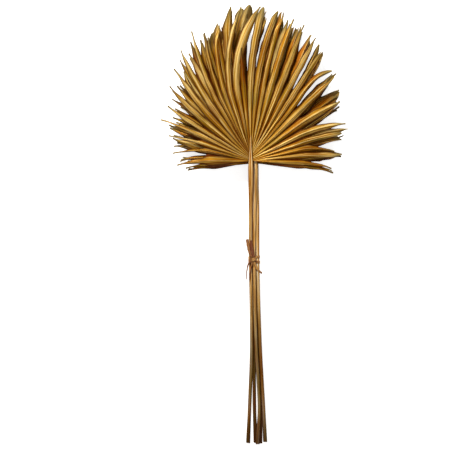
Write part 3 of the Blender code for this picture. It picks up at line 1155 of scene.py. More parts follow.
    def pleat(self, direction: float, radius: float, half_angle: float, height: float) -> Vector:
        """A point of a joined pleat's ridge or valley.

        Args:
            direction: the direction from the hub.
            radius: the distance from the hub.
            half_angle: half the angle that the pleat takes up, in radians.
            height: its height as a share of the usual one, below 0 for a valley.

        Returns:
            The point, from the hub.
        """
        point = self.base_point(radius, direction)
        half_width = radius * math.sin(half_angle)
        point.z += 0.5 * half_width * math.tan(self.fold_at(radius, direction)) * height
        return point

    def valley(self, n: int, radius: float) -> Vector:
        """The point of the valley at edge n that is that far from the hub."""
        half_angle = self.half_angle(max(n - 1, 0), min(n + 1, len(self.lobes)))
        return self.pleat(self.edges[n], radius, half_angle, -self.depths[n])

    def ridge(self, n: int, radius: float) -> Vector:
        """The point of segment n's ridge that is that far from the hub, where it is joined."""
        return self.pleat(self.segments[n].centre, radius, self.half_angle(n, n + 1), 1.0)

    def crease(self, n: int, place: float, out: float) -> float:
        """The height that drying creases add along the middle of each side of a segment.

        Args:
            n: the segment's number.
            place: the place across it, from -1 to 1.
            out: the distance from the hub.

        Returns:
            The added height.
        """
        left, right = self.segments[n].creases
        height = right if place > 0 else left
        grown = smoothstep(*self.creases_begin, out)
        return height * interpolate(self.crease_shape, abs(place)) * grown

    def joined_radius(self, row: int, split: float) -> float:
        """How far out a row of the joined part is, where the parting is at that distance."""
        return self.inner + (split - self.inner) * (row / self.joined_rows) ** self.row_power

    def joined_row(self, n: int, row: int) -> list[Vector]:
        """One row of points across segment n where it is joined to its neighbours.

        Args:
            n: the segment's number.
            row: the row's number, from 0 at the hub.

        Returns:
            A point for each place in across.
        """
        root = self.root(n)
        ridge = self.ridge(n, self.joined_radius(row, root))
        roundness = mix(*self.joined_roundness, self.left_half(self.segments[n].centre))
        roundness = mix(roundness, self.last_roundness, (row / self.joined_rows) ** 3)
        points = []
        for place in self.across:
            edge = n if place > 0 else n + 1
            valley = self.valley(edge, self.joined_radius(row, self.splits[edge]))
            point = ridge.lerp(valley, abs(place))
            point.z = mix(ridge.z, valley.z, abs(place) ** roundness)
            point.z += self.crease(n, place, ridge.to_2d().length)
            points.append(point)
        return points

    def free_row(self, n: int, row: int) -> list[Vector]:
        """One row of points across segment n's free part.

        Args:
            n: the segment's number.
            row: the row's number, from 1 to free_rows at the tip.

        Returns:
            A point for each place in across.
        """
        segment, lobe = self.segments[n], self.lobes[n]
        root = self.root(n)
        free = 1.0 - (1.0 - row / self.free_rows) ** self.row_power
        radius = mix(root, lobe.reach, free)
        bend = segment.turn * free**self.bend_power
        heading = segment.centre + bend
        swinging = self.hook_power * segment.hook * free ** (self.hook_power - 1.0)
        swing = math.degrees(math.atan(swinging / (lobe.reach - root)))
        side = polar(1.0, heading + self.bend_power * bend - 90.0)
        spine = self.base_point(radius, heading) + side * (segment.hook * free**self.hook_power)
        side.rotate(Matrix.Rotation(math.radians(-swing), 3, "Z"))

        joined_fold = self.fold_at(root, segment.centre)
        full = root * math.sin(self.half_angle(n, n + 1)) / math.cos(joined_fold)
        spine.z += 0.5 * full * math.sin(joined_fold) * (1.0 - self.sinks * free)
        settled = smoothstep(0.0, self.settled, free)
        spine.z += segment.lift * settled + segment.curl * free**self.curl_power

        swell = 1.0 + segment.swell * math.sin(math.pi * min(1.0, self.swell_rate * free))
        swell *= mix(1.0, self.strap * lobe.breadth, smoothstep(0.0, self.strapped, free))
        taper = lobe.style.taper(lobe.reach - radius)
        if lobe.style is not TipStyle.BLUNT:
            taper *= 1.0 - segment.slender * smoothstep(*self.slims, free)
        width = max(full * swell * taper, self.least_width)

        fold = mix(joined_fold, math.radians(segment.slope), settled)
        level = width * math.cos(max(abs(fold), math.radians(self.least_slope)))
        drop = -width * math.sin(fold)
        roll = math.radians(segment.twist) * free**self.roll_power
        points = []
        for place in self.across:
            hand = 1.0 if place > 0 else -1.0
            edge = n if place > 0 else n + 1
            rim = spine + side * (hand * level * math.cos(roll) - drop * math.sin(roll))
            rim.z += hand * level * math.sin(roll) + drop * math.cos(roll)
            wave = self.wave * math.sin(self.wave_per_mm * radius + segment.crinkle + hand)
            rim += side * (wave * hand) + Vector((0.0, 0.0, wave))
            reach = mix(self.splits[edge], lobe.reach, free)
            past = reach - self.splits[edge]
            parted = smoothstep(self.parting_start, self.parting_length, past)
            rim = self.valley(edge, reach).lerp(rim, parted)
            share = abs(place)
            point = spine.lerp(rim, share)
            point.z = mix(spine.z, rim.z, share**self.free_roundness)
            point.z += self.crease(n, place, radius) * taper
            if lobe.style is TipStyle.FORKED:
                back = segment.notch * smoothstep(self.notch_from, 1.0, free)
                point -= polar(back * (1.0 - share) ** self.notch_power, heading)
            points.append(point)
        return points

    def tone_at(self, n: int, out: float) -> float:
        """How much lacquer segment n shows at that distance from the hub, less painted shade where
        other fans cover it.

        Args:
            n: the segment's number.
            out: the distance from the hub.

        Returns:
            The lacquer, from 0 to 1.
        """
        lobe, segment = self.lobes[n], self.segments[n]
        # Painted shade: a lower fan is darker near its hub, where the fans above cover it.
        shade = mix(self.shaded, 1.0, smoothstep(*self.shade_ends, out / lobe.reach))
        off = (segment.centre - self.smooth_middle) / self.smooth_spread
        thin = self.thin_middle * math.exp(-off * off) * (1.0 - smoothstep(*self.thin_ends, out))
        shade *= mix(self.inner_tone, 1.0, smoothstep(*self.inner_ends, out))
        return lobe.tone * shade * (1.0 - thin)

    def facts(self, n: int, points: Sequence[Vector]) -> list[tuple[tuple, tuple]]:
        """What the leaf finish reads at each point of a row.

        Args:
            n: the segment's number.
            points: the row's points.

        Returns:
            For each point its place (across, share of the reach, lacquer less painted shade) and
            its lengths (across, out from the hub, a number of its own).
        """
        ridge = points[len(points) // 2]
        out = ridge.to_2d().length
        tone = self.tone_at(n, out)
        narrow = mix(1.0, self.left_valley, self.left_half(self.segments[n].centre))
        own = self.apart[0] * n + self.apart[1] * self.number
        rows = []
        for place, point in zip(self.across, points):
            valley = math.copysign(abs(place) ** narrow, place)
            across_mm = math.copysign((point - ridge).length, place)
            rows.append(((valley, out / self.lobes[n].reach, tone), (across_mm, out, own)))
        return rows

    def sheet(self) -> Shape:
        """Builds the blade's middle surface.

        Returns:
            The surface, with the leaf_place and leaf_mm layers filled in.
        """
        sheet = bmesh.new()
        place_layer = sheet.loops.layers.float_vector.new("leaf_place")
        mm_layer = sheet.loops.layers.float_vector.new("leaf_mm")
        hub = Vector(self.hub)
        shared: dict[tuple[int, int], bmesh.types.BMVert] = {}
        last = len(self.across) - 1
        for n in range(len(self.lobes)):
            rows = [self.joined_row(n, row) for row in range(self.joined_rows + 1)]
            rows += [self.free_row(n, row) for row in range(1, self.free_rows + 1)]
            grid = []
            for i, points in enumerate(rows):
                verts = []
                for k, point in enumerate(points):
                    joined = i <= self.joined_rows and k in (0, last)
                    key = (n if k == last else n + 1, i)
                    vert = shared.get(key) if joined else None
                    if vert is None:
                        place = hub + point
                        place.z = max(place.z, self.lowest)
                        vert = sheet.verts.new(place * MM)
                        if joined:
                            shared[key] = vert
                    verts.append(vert)
                grid.append(verts)
            facts = [self.facts(n, points) for points in rows]
            for i in range(len(rows) - 1):
                for k in range(last):
                    corners = ((i, k), (i, k + 1), (i + 1, k + 1), (i + 1, k))
                    face = sheet.faces.new([grid[a][b] for a, b in corners])
                    for loop, (a, b) in zip(face.loops, corners):
                        loop[place_layer], loop[mm_layer] = facts[a][b]
        bmesh.ops.recalc_face_normals(sheet, faces=sheet.faces)
        return sheet

    def build(self, leaf: Material) -> Piece:
        """Builds the blade as one closed sheet.

        Args:
            leaf: the leaf's material.

        Returns:
            The new piece.
        """
        piece = make_piece(f"palm_fan_{self.number}", self.sheet(), [leaf])
        thicken(piece, self.thickness)
        piece.data.set_sharp_from_angle(angle=math.radians(self.sharp))
        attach(piece, "root")
        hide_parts(f"frond_{self.number}_blade")
        return piece


# ---------------------------------------------------------------- the stems


@dataclass(frozen=True)
class Station:
    """A place on a stem's centre line and how thick the stem is there.

    Attributes:
        y: how far it is towards the tips.
        x: how far it is to the right.
        z: its height.
        scale: the stem's thickness there, as a share of the usual.
    """

    y: float
    x: float
    z: float
    scale: float


@dataclass
class Stem:
    """A leafstalk, which runs on over its blade as a tapering costa.

    Attributes:
        number: the frond's number.
        stations: its centre line, from the costa's tip down to the cut end.
        lacquer: how much of the lacquer reached it, from 0 to 1; where it is low the whole stem
        also takes the painted flank shade.
        width: its full width where its scale is 1.
        height: its full height there.
        flat: where its underside is flat, as a share of half its height.
        ribs: how many ribs run round it, how high they stand and how fast they wander round,
            in radians for each millimetre; coarse and then fine.
        around: how many points a section has.
        skin_mm: the skin's width between two of them.
        step: the distance between sections.
        tip: how thick it still is at its upper end, as a share.
        slant: how far its end is sawn aslant, for each millimetre of X, at most.
        bevel: the width of the worn rim of the cut end.
        start: where the lengths along it are counted from.
        apart: what tells the patterns of two stems and of two cut ends apart.
        sharp: the angle from which a rim is drawn sharp, in degrees.
        first_seed: what its number is added to for its seed.
    """

    number: int
    stations: Sequence[Station]
    lacquer: float = 1.0
    width: float = 5.6
    height: float = 4.4
    flat: float = -0.86
    ribs: Sequence[Triple] = ((5.0, 0.028, 0.004), (11.0, 0.012, 0.017))
    around: int = 24
    skin_mm: float = 0.7
    step: float = 3.5
    tip: float = 0.6
    slant: float = 0.22
    bevel: float = 0.5
    start: float = 101.0
    apart: Pair = (30.0, 7.0)
    sharp: float = 50.0
    first_seed: int = 90

    def slope(self, i: int, part: str) -> float:
        """The slope at a station, level where the run turns back.

        Args:
            i: the station's number.
            part: x, z or scale.

        Returns:
            That part's change for each millimetre of Y.
        """
        i = min(max(i, 1), len(self.stations) - 2)
        before, here, after = self.stations[i - 1 : i + 2]
        rise_in = (getattr(here, part) - getattr(before, part)) / (here.y - before.y)
        rise_out = (getattr(after, part) - getattr(here, part)) / (after.y - here.y)
        if rise_in * rise_out <= 0.0:
            return 0.0
        return 2.0 * rise_in * rise_out / (rise_in + rise_out)

    def at(self, y: float) -> Station:
        """The centre line at a place, on a smooth curve through the stations.

        Args:
            y: the place.

        Returns:
            The station there.
        """
        last = len(self.stations) - 2
        i = next((n for n in range(last + 1) if y >= self.stations[n + 1].y), last)
        here, there = self.stations[i], self.stations[i + 1]
        span = there.y - here.y
        t = (y - here.y) / span
        found = {}
        for part in ("x", "z", "scale"):
            found[part] = (
                getattr(here, part) * (1 + 2 * t) * (1 - t) ** 2
                + self.slope(i, part) * span * t * (1 - t) ** 2
                + getattr(there, part) * t * t * (3 - 2 * t)
                + self.slope(i + 1, part) * span * t * t * (t - 1)
            )
        return Station(y, found["x"], found["z"], found["scale"])

    def ring(self, y: float, shrink: float, phase: float) -> list[Vector]:
        """The stem's section at a place: round above, flat below, ribbed along.

        Args:
            y: the place.
            shrink: how much smaller than full size it is.
            phase: where round the section its ribs start.

        Returns:
            The section's points, in order.
        """
        at = self.at(y)
        half_width = 0.5 * self.width * at.scale * shrink
        half_height = 0.5 * self.height * at.scale * shrink
        (coarse, coarse_height, coarse_drift), (fine, fine_height, fine_drift) = self.ribs
        points = []
        for n in range(self.around):
            angle = math.tau * (n + 0.5) / self.around
            rib = 1.0 + coarse_height * math.sin(coarse * angle + phase + coarse_drift * y)
            rib += fine_height * math.sin(fine * angle - phase + fine_drift * y)
            up = max(self.flat * half_height, half_height * math.sin(angle) * rib)
            points.append(Vector((at.x + half_width * rib * math.cos(angle), y, at.z + up)))
        return points

    def tube(self) -> Shape:
        """Builds the stem's closed surface, with a worn rim round its sawn end.

        Returns:
            The surface, with the stalk_mm and stalk_lit_crest layers filled in.
        """
        rng = random.Random(self.first_seed + self.number)
        phase = rng.uniform(0.0, math.tau)
        slant = rng.uniform(-self.slant, self.slant)
        top, bottom = self.stations[0].y, self.stations[-1]
        rows = max(2, round((top - bottom.y) / self.step))
        tube = bmesh.new()
        mm_layer = tube.verts.layers.float_vector.new("stalk_mm")
        lit_crest_layer = tube.verts.layers.float.new("stalk_lit_crest")
        rings = []
        for row in range(rows + 1):
            y = mix(top, bottom.y, row / rows)
            ring = []
            for k, point in enumerate(self.ring(y, 1.0 if row else self.tip, phase)):
                if row == rows:
                    point.y += slant * (point.x - bottom.x)
                vert = tube.verts.new(point * MM)
                vert[mm_layer] = (k * self.skin_mm, y - self.start, self.apart[0] * self.number)
                # How far up the skin faces, times the lacquer: where this is low the finish paints
                # shade.
                rise = math.sin(math.tau * (k + 0.5) / self.around)
                vert[lit_crest_layer] = self.lacquer * clamp(rise)
                ring.append(vert)
            rings.append(ring)
        for near, far in zip(rings, rings[1:]):
            for k in range(self.around):
                after = (k + 1) % self.around
                tube.faces.new((near[k], near[after], far[after], far[k]))
        tube.faces.new(reversed(rings[0]))
        sawn = tube.faces.new(rings[-1])
        bmesh.ops.recalc_face_normals(tube, faces=tube.faces)
        bmesh.ops.inset_region(tube, faces=[sawn], thickness=self.bevel * MM,
                               depth=-0.5 * self.bevel * MM)
        for face in tube.faces:
            face.smooth = face is not sawn
        for vert in sawn.verts:
            vert[mm_layer] = (vert.co.x / MM, vert.co.z / MM, self.apart[1] * self.number)
        return tube

    def build(self, stalk: Material) -> Piece:
        """Builds the stem with its sawn end.

        Args:
            stalk: its material.

        Returns:
            The new piece.
        """
        piece = make_piece(f"leafstalk_{self.number}", self.tube(), [stalk])
        piece.data.set_sharp_from_angle(angle=math.radians(self.sharp))
        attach(piece, "root")
        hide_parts(f"frond_{self.number}_stem")
        return piece


@dataclass(kw_only=True)
class Frond:
    """A whole leaf: where its hub is and how its stem runs through the tie to its cut end.

    Attributes:
        number: its number; frond 1 is the top one.
        hub: where its blade starts.
        turn: how far its blade is turned, in degrees, where it is under the top one.
        size: its blade's size as a share of the outline.
        count: how many segments its blade has, where it is under the top one.
        hub_scale: its stem's scale at the hub.
        seed: the seed of its blade.
        tie: its stem's X and Z at the tie.
        middle: the same half way down to the floor.
        low: the same near the cut end.
        end: the cut end's X, Y and Z.
        tone: how much lacquer its blade carries, as a share of the top fan's; it drops down the
        stack, which also paints shade on the lower blades.
        special: one segment that stands out past the top fan, or None.
        lacquer_and_light: how much of the lacquer reached its stem; low for the stems under the
            others,
        which are painted in shade.
        top_hub: where the top fan starts.
        lowest_hub: the lowest blade's height at its hub.
        layer_step: the height from one blade to the next.
        layers: how many blades there are.
        costa: how far the stem runs on over the blade.
        costa_end: its scale there.
        costa_shares: where the costa's stations are, as shares of its length.
        costa_rest: how high over the blade its underside is.
        costa_flat: how far its middle is over its underside, where its scale is 1.
        ridge_rise: how fast the ridge under it rises from the blade, in degrees.
        arch: how high the blade arches under it, and how far out that arch comes down.
        neck: how far the stem's middle is over the blade at the hub: for each unit of scale,
            and what is added to that.
        neck_drop: how far back from the hub the stem has come down, and by how much.
        above_tie: how much of the way from the tie to the hub it still has to go to the side
            and up, just above the tie.
        tie_spread: how far it moves to the right inside the tie.
        bends: the Y and the scale of its stations: above the tie, at the tie's top and foot,
            half way down and near the cut end.
        end_scale: its scale at the cut end.
        hidden: for a blade under the top one, how much of its lacquer shows near the hub, which
        also paints the shade of the fans above, and how many of its segments have dried inside out.
    """

    number: int
    hub: Pair
    turn: float = 0.0
    size: float
    count: int = len(TOP_LOBES)
    hub_scale: float
    seed: int
    tie: Pair
    middle: Pair
    low: Pair
    end: Triple
    tone: float = 1.0
    special: Lobe | None = None
    lacquer_and_light: float = 1.0
    top_hub: Pair = (-4.8, 100.8)
    lowest_hub: float = 4.0
    layer_step: float = 8.0
    layers: int = 5
    costa: float = 40.0
    costa_end: float = 0.28
    costa_shares: Sequence[float] = (1.0, 0.72, 0.4, 0.12)
    costa_rest: float = 0.55
    costa_flat: float = 1.89
    ridge_rise: float = 3.0
    arch: Pair = (6.0, 247.0)
    neck: Pair = (2.2, 0.2)
    neck_drop: Pair = (12.0, 1.0)
    above_tie: Pair = (0.3, 0.58)
    tie_spread: float = 0.3
    bends: Sequence[Pair] = (
        (28.0, 1.02), (-46.0, 0.96), (-70.0, 0.96), (-185.0, 1.0), (-297.0, 1.0),
    )
    end_scale: float = 1.18
    hidden: Pair = (0.75, 0.25)

    @property
    def hub_z(self) -> float:
        """The blade's height at the hub."""
        return self.lowest_hub + self.layer_step * (self.layers - self.number)

    def blade(self) -> FanBlade:
        """Lays out the frond's fan.

        Returns:
            The fan, ready to build.
        """
        first_edge, lobes = TOP_FIRST_EDGE, TOP_LOBES
        shaded, inverted = 1.0, 0.0
        if self.number > 1:
            shaded, inverted = self.hidden
            offset = Vector((*self.hub, 0.0)) - Vector((*self.top_hub, 0.0))
            lower = LowerFan(self.count, self.turn, self.size, self.seed, self.tone, offset,
                             self.special)
            first_edge, lobes = lower.direction(0.0), lower.lobes()
        return FanBlade(
            number=self.number,
            hub=(*self.hub, self.hub_z),
            first_edge=first_edge,
            lobes=lobes,
            size=self.size,
            seed=self.seed,
            shaded=shaded,
            inverted=inverted,
        )

    def costa_stations(self) -> list[Station]:
        """The centre line of the costa, which rests on the top of the blade's ridge.

        Returns:
            Its stations, from its tip back to the hub.
        """
        hub_x, hub_y = self.hub
        height, length = self.arch
        stations = []
        for share in self.costa_shares:
            scale = mix(self.hub_scale, self.costa_end, math.sqrt(share))
            distance = self.costa * share
            ridge = distance * math.sin(math.radians(self.ridge_rise))
            rest = height * math.sin(math.pi * distance / length) + ridge + self.costa_rest
            middle = self.hub_z + rest + self.costa_flat * scale
            stations.append(Station(hub_y + distance, hub_x, middle, scale))
        return stations

    def stem(self) -> Stem:
        """Lays out the frond's stem.

        Returns:
            The stem, ready to build.
        """
        hub_x, hub_y = self.hub
        tie_x, tie_z = self.tie
        end_x, end_y, end_z = self.end
        neck = self.hub_z + self.neck[0] * self.hub_scale + self.neck[1]
        back, drop = self.neck_drop
        above = (mix(tie_x, hub_x, self.above_tie[0]), mix(tie_z, neck, self.above_tie[1]))
        places = (above, self.tie, (tie_x + self.tie_spread, tie_z), self.middle, self.low)
        return Stem(self.number, [
            *self.costa_stations(),
            Station(hub_y - back, hub_x, neck - drop, self.hub_scale),
            *(Station(y, *place, scale) for (y, scale), place in zip(self.bends, places)),
            Station(end_y, end_x, end_z, self.end_scale),
        ], lacquer=self.lacquer_and_light)


# ---------------------------------------------------------------- the raffia tie


@dataclass
class Strip:
    """A flat ribbon of raffia along a path, with a cupped section and a torn end.

    Attributes:
        name: the piece's name, which is also that of the CAD node that it stands for.
        path: the points it passes through.
        width: its width at each point.
        normals: which way its face looks at each point.
        red: how red it is, from 0 to 1.
        closed: True where it runs round into itself.
        seed: the seed of its waves and its torn end.
        thickness: how thick it is.
        cup: how deep its section is cupped, as a share of a quarter of its width.
        edge_wave: how much its width waves, how fast along it and how fast across it.
        face_wave: the same for its face.
        torn: how far its end's fibres reach back and on.
        across: the places across it, from -1 to 1.
        rows_each: how many rows there are for each point of the path.
        nearby: how far along the path its direction is felt for, as a share.
        apart: what tells the patterns of two strips apart.
    """

    name: str
    path: Sequence[Vector]
    width: Sequence[float]
    normals: Sequence[Vector]
    red: float = 0.0
    closed: bool = False
    seed: int = 1
    thickness: float = 0.35
    cup: float = 0.35
    edge_wave: Triple = (0.08, 0.9, 2.0)
    face_wave: Triple = (0.10, 0.25, 7.0)
    torn: Pair = (-1.4, 1.0)
    across: Sequence[float] = (-1.0, -0.6, -0.2, 0.2, 0.6, 1.0)
    rows_each: int = 12
    nearby: float = 0.01
    apart: float = 11.0

    def sample(self, values: Sequence, t: float) -> float | Vector:
        """A smooth value part of the way along a list, by a Catmull-Rom curve.

        Args:
            values: the numbers or vectors that the curve passes through.
            t: the share of the way along.

        Returns:
            The number or vector there.
        """
        count = len(values) if self.closed else len(values) - 1
        t = t % 1.0 if self.closed else clamp(t)
        i = min(int(t * count), count - 1)
        f = t * count - i
        if self.closed:
            a, b, c, d = (values[(i + k) % len(values)] for k in (-1, 0, 1, 2))
        else:
            a, b, c, d = (values[min(max(i + k, 0), len(values) - 1)] for k in (-1, 0, 1, 2))
        return 0.5 * (
            b * 2.0 + (c - a) * f + (a * 2.0 - b * 5.0 + c * 4.0 - d) * (f * f)
            + (b * 3.0 - a - c * 3.0 + d) * (f * f * f)
        )

    def row(self, t: float, travelled: float, phase: float) -> list[Vector]:
        """One row of points across the strip.

        Args:
            t: the share of the way along.
            travelled: the distance along it.
            phase: where its waves start.

        Returns:
            A point for each place in across.
        """
        centre = self.sample(self.path, t)
        ahead, behind = (self.sample(self.path, t + step) for step in (self.nearby, -self.nearby))
        tangent = (ahead - behind).normalized()
        side = tangent.cross(self.sample(self.normals, t)).normalized()
        up = side.cross(tangent).normalized()
        width = self.sample(self.width, t)
        wide, wide_along, wide_across = self.edge_wave
        high, high_along, high_across = self.face_wave
        points = []
        for place in self.across:
            edge = 1.0 + wide * math.sin(travelled * wide_along + phase + wide_across * place)
            rise = -self.cup * place * place * width * 0.25
            rise += high * math.sin(high_across * place + high_along * travelled + phase)
            points.append(centre + side * (0.5 * width * place * edge) + up * rise)
        return points

    def ribbon(self) -> Shape:
        """Builds the strip's middle surface.

        Returns:
            The surface, with the strip_mm and strip_red layers filled in.
        """
        rng = random.Random(self.seed)
        phase = rng.uniform(0.0, math.tau)
        rows = self.rows_each * len(self.path)
        steps = rows if self.closed else rows + 1
        ribbon = bmesh.new()
        mm_layer = ribbon.verts.layers.float_vector.new("strip_mm")
        red_layer = ribbon.verts.layers.float.new("strip_red")
        grid = []
        travelled = 0.0
        for i in range(steps):
            t = i / rows
            if i:
                before = self.sample(self.path, t - 1 / rows)
                travelled += (self.sample(self.path, t) - before).length
            points = self.row(t, travelled, phase)
            if not self.closed and i == steps - 1:
                along = (points[0] - grid[-1][0].co / MM).normalized()
                points = [point + along * rng.uniform(*self.torn) for point in points]
            verts = []
            for place, point in zip(self.across, points):
                vert = ribbon.verts.new(point * MM)
                across_mm = 0.5 * self.sample(self.width, t) * place
                vert[mm_layer] = (across_mm, travelled, self.apart * self.seed)
                vert[red_layer] = self.red
                verts.append(vert)
            grid.append(verts)
        for near, far in zip(grid, grid[1:] + grid[:1] if self.closed else grid[1:]):
            for k in range(len(self.across) - 1):
                ribbon.faces.new((near[k], near[k + 1], far[k + 1], far[k]))
        bmesh.ops.recalc_face_normals(ribbon, faces=ribbon.faces)
        return ribbon

    def build(self, raffia: Material) -> Piece:
        """Builds the strip as one closed mesh.

        Args:
            raffia: its material.

        Returns:
            The new piece.
        """
        piece = make_piece(self.name, self.ribbon(), [raffia])
        thicken(piece, self.thickness)
        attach(piece, "root")
        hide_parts(self.name)
        return piece


@dataclass(frozen=True)
class LooseEnd:
    """One end of raffia that leaves the knot.

    Attributes:
        name: which end it is.
        width: its width at each point of its route.
        route: the points that it passes through, from the knot out.
        lean: how far its face leans from straight up.
        red: how red it is, from 0 to 1.
        seed: the seed of its waves and its torn end.
    """

    name: str
    width: Sequence[float]
    route: Sequence[Triple]
    lean: Triple
    red: float
    seed: int

    def strip(self) -> Strip:
        """Lays the end out.

        Returns:
            The strip that it is made of.
        """
        face = (Vector((0.0, 0.0, 1.0)) + Vector(self.lean)).normalized()
        path = [Vector(point) for point in self.route]
        return Strip(self.name, path, self.width, [face] * len(path), self.red, seed=self.seed)


LOOSE_ENDS = (
    LooseEnd("raffia_tail_upper_left", (3.4, 4.4, 5.0, 4.4),
             ((-3.0, -52.6, 14.0), (-6.4, -45.0, 14.4), (-8.6, -35.0, 13.2), (-10.4, -24.4, 12.6)),
             (-0.35, 0.1, 0.0), 0.6, 5),
    LooseEnd("raffia_tail_upper_right", (3.4, 4.6, 4.4, 3.2),
             ((0.6, -51.8, 14.2), (-1.4, -44.0, 14.9), (-3.2, -35.0, 15.4), (-4.2, -25.6, 16.2)),
             (0.25, 0.1, 0.0), 0.85, 6),
    LooseEnd("raffia_tail_lower_left", (2.6, 2.2, 1.9, 1.3),
             ((-5.2, -58.8, 13.8), (-9.0, -65.0, 12.2), (-10.8, -75.0, 10.6), (-11.7, -88.6, 9.6)),
             (-0.6, 0.0, 0.0), 0.6, 7),
    LooseEnd("raffia_tail_lower_middle", (2.8, 2.7, 2.2, 1.4),
             ((-1.6, -60.8, 13.8), (-4.0, -69.0, 12.9), (-5.6, -79.0, 12.4), (-6.7, -89.2, 12.1)),
             (0.3, 0.0, 0.0), 0.4, 8),
    LooseEnd("raffia_tail_lower_right", (3.2, 3.8, 3.4, 2.8),
             ((1.0, -59.8, 13.9), (3.8, -67.0, 13.0), (7.4, -73.4, 12.3), (13.8, -78.4, 10.2)),
             (0.2, -0.2, 0.0), 0.0, 9),
)


@dataclass(frozen=True)
class Turn:
    """One turn of raffia drawn tight round the stems.

    Attributes:
        name: which turn it is.
        y: where it is.
        slant: how far it runs towards the tips for each millimetre of X.
        gap: its distance from the stems.
        seed: the seed of its waves.
    """

    name: str
    y: float
    slant: float
    gap: float
    seed: int


@dataclass
class RaffiaTie:
    """The tie half way down the bunch: turns round the stems, a knot and loose ends.

    Attributes:
        stems: the stems that it holds.
        turns: its turns.
        turn_width: how wide a turn's strip is.
        turn_points: how many points a turn's path has.
        knot_centre: the middle of the knot.
        knot_radii: half the knot's size along X, Y and Z.
        knot_width: how wide the knot's strip is.
        knot_points: how many points its path has.
        knot_lean: how far its loop lies along X and along Y.
        turn_cup: how far a turn's strip is cupped.
        knot_cup: how far the knot's strip is.
        knot_seed: the seed of its waves.
    """

    stems: Sequence[Stem]
    turns: Sequence[Turn] = (
        Turn("raffia_turn_upper", -53.0, 0.10, 0.45, 3),
        Turn("raffia_turn_lower", -59.4, -0.12, 0.65, 4),
    )
    turn_width: float = 4.6
    turn_points: int = 28
    knot_centre: Triple = (0.2, -56.6, 13.4)
    knot_radii: Triple = (3.1, 2.6, 1.9)
    knot_width: float = 5.4
    knot_points: int = 9
    knot_lean: Pair = (0.86, 0.5)
    turn_cup: float = 0.1
    knot_cup: float = 0.5
    knot_seed: int = 12

    def section(self, y: float) -> list[Vector]:
        """Points round every stem where the tie crosses them.

        Args:
            y: where the tie crosses.

        Returns:
            The points, with their Y at 0.
        """
        points = []
        for stem in self.stems:
            points += [Vector((point.x, 0.0, point.z)) for point in stem.ring(y, 1.0, 0.0)]
        return points

    def outline(self, turn: Turn) -> list[Vector]:
        """The path of a turn, which spans the hollows between the stems.

        Args:
            turn: the turn.

        Returns:
            Points round the stems, anticlockwise as seen from the tips.
        """
        stems = self.section(turn.y)
        middle = sum(stems, Vector()) / len(stems)
        lines = []
        for k in range(self.turn_points):
            away = polar(1.0, 360.0 * k / self.turn_points)
            away = Vector((away.x, 0.0, away.y))
            lines.append((away, max((point - middle).dot(away) for point in stems) + turn.gap))
        path = []
        for k, (away, far) in enumerate(lines):
            after, next_far = lines[(k + 1) % self.turn_points]
            # Two neighbouring lines that touch the stems meet at a corner of the path.
            cross = away.x * after.z - away.z * after.x
            x = (far * after.z - next_far * away.z) / cross
            z = (next_far * away.x - far * after.x) / cross
            path.append(Vector((middle.x + x, turn.y + turn.slant * x, middle.z + z)))
        return path

    def wound(self, turn: Turn) -> Strip:
        """The strip of one turn.

        Args:
            turn: the turn.

        Returns:
            The strip, closed round the stems.
        """
        path = self.outline(turn)
        centre = sum(path, Vector()) / len(path)
        normals = [Vector((p.x - centre.x, 0.0, p.z - centre.z)).normalized() for p in path]
        return Strip(turn.name, path, [self.turn_width] * len(path), normals, closed=True,
                     seed=turn.seed, cup=self.turn_cup)

    def knot(self) -> Strip:
        """The knot: a strip pulled into a tight rounded loop over the turns.

        Returns:
            The strip, closed into a loop.
        """
        path, normals = [], []
        for k in range(self.knot_points):
            spoke = polar(1.0, 360.0 * k / self.knot_points)
            lean = Vector((self.knot_lean[0] * spoke.x, self.knot_lean[1] * spoke.x, spoke.y))
            reach = Vector([size * part for size, part in zip(self.knot_radii, lean)])
            path.append(Vector(self.knot_centre) + reach)
            normals.append(lean.normalized())
        return Strip("raffia_knot", path, [self.knot_width] * len(path), normals, closed=True,
                     seed=self.knot_seed, cup=self.knot_cup)

    def build(self, raffia: Material) -> list[Piece]:
        """Builds the turns, the loose ends and the knot.

        Args:
            raffia: the material of all of them.

        Returns:
            The new pieces.
        """
        strips = [self.wound(turn) for turn in self.turns]
        strips += [end.strip() for end in LOOSE_ENDS]
        strips.append(self.knot())
        return [strip.build(raffia) for strip in strips]


# ---------------------------------------------------------------- the studio


@dataclass(frozen=True)
class Lamp:
    """A square soft light that shines on a point near the bunch.

    Attributes:
        name: which light it is.
        away: where it stands, from the point that it shines on, in metres.
        side: how wide it is, in metres.
        watts: its power.
        colour: its sRGB colour.
        along: how far the point is from the middle of the bunch towards the tips, in metres.
    """

    name: str
    away: Triple
    side: float
    watts: float
    colour: str
    along: float = 0.18

    def place(self, middle: Vector) -> None:
        """Hangs the light.

        Args:
            middle: the middle of the bunch.
        """
        aim = middle + Vector((0.0, self.along, 0.0))
        source = bpy.data.lights.new(self.name, "AREA")
        source.size = self.side
        source.energy = self.watts
        source.color = srgb(self.colour)[:3]
        holder = bpy.data.objects.new(self.name, source)
        holder.location = aim + Vector(self.away)
        holder.rotation_euler = (aim - holder.location).to_track_quat("-Z", "Y").to_euler()
        bpy.context.scene.collection.objects.link(holder)


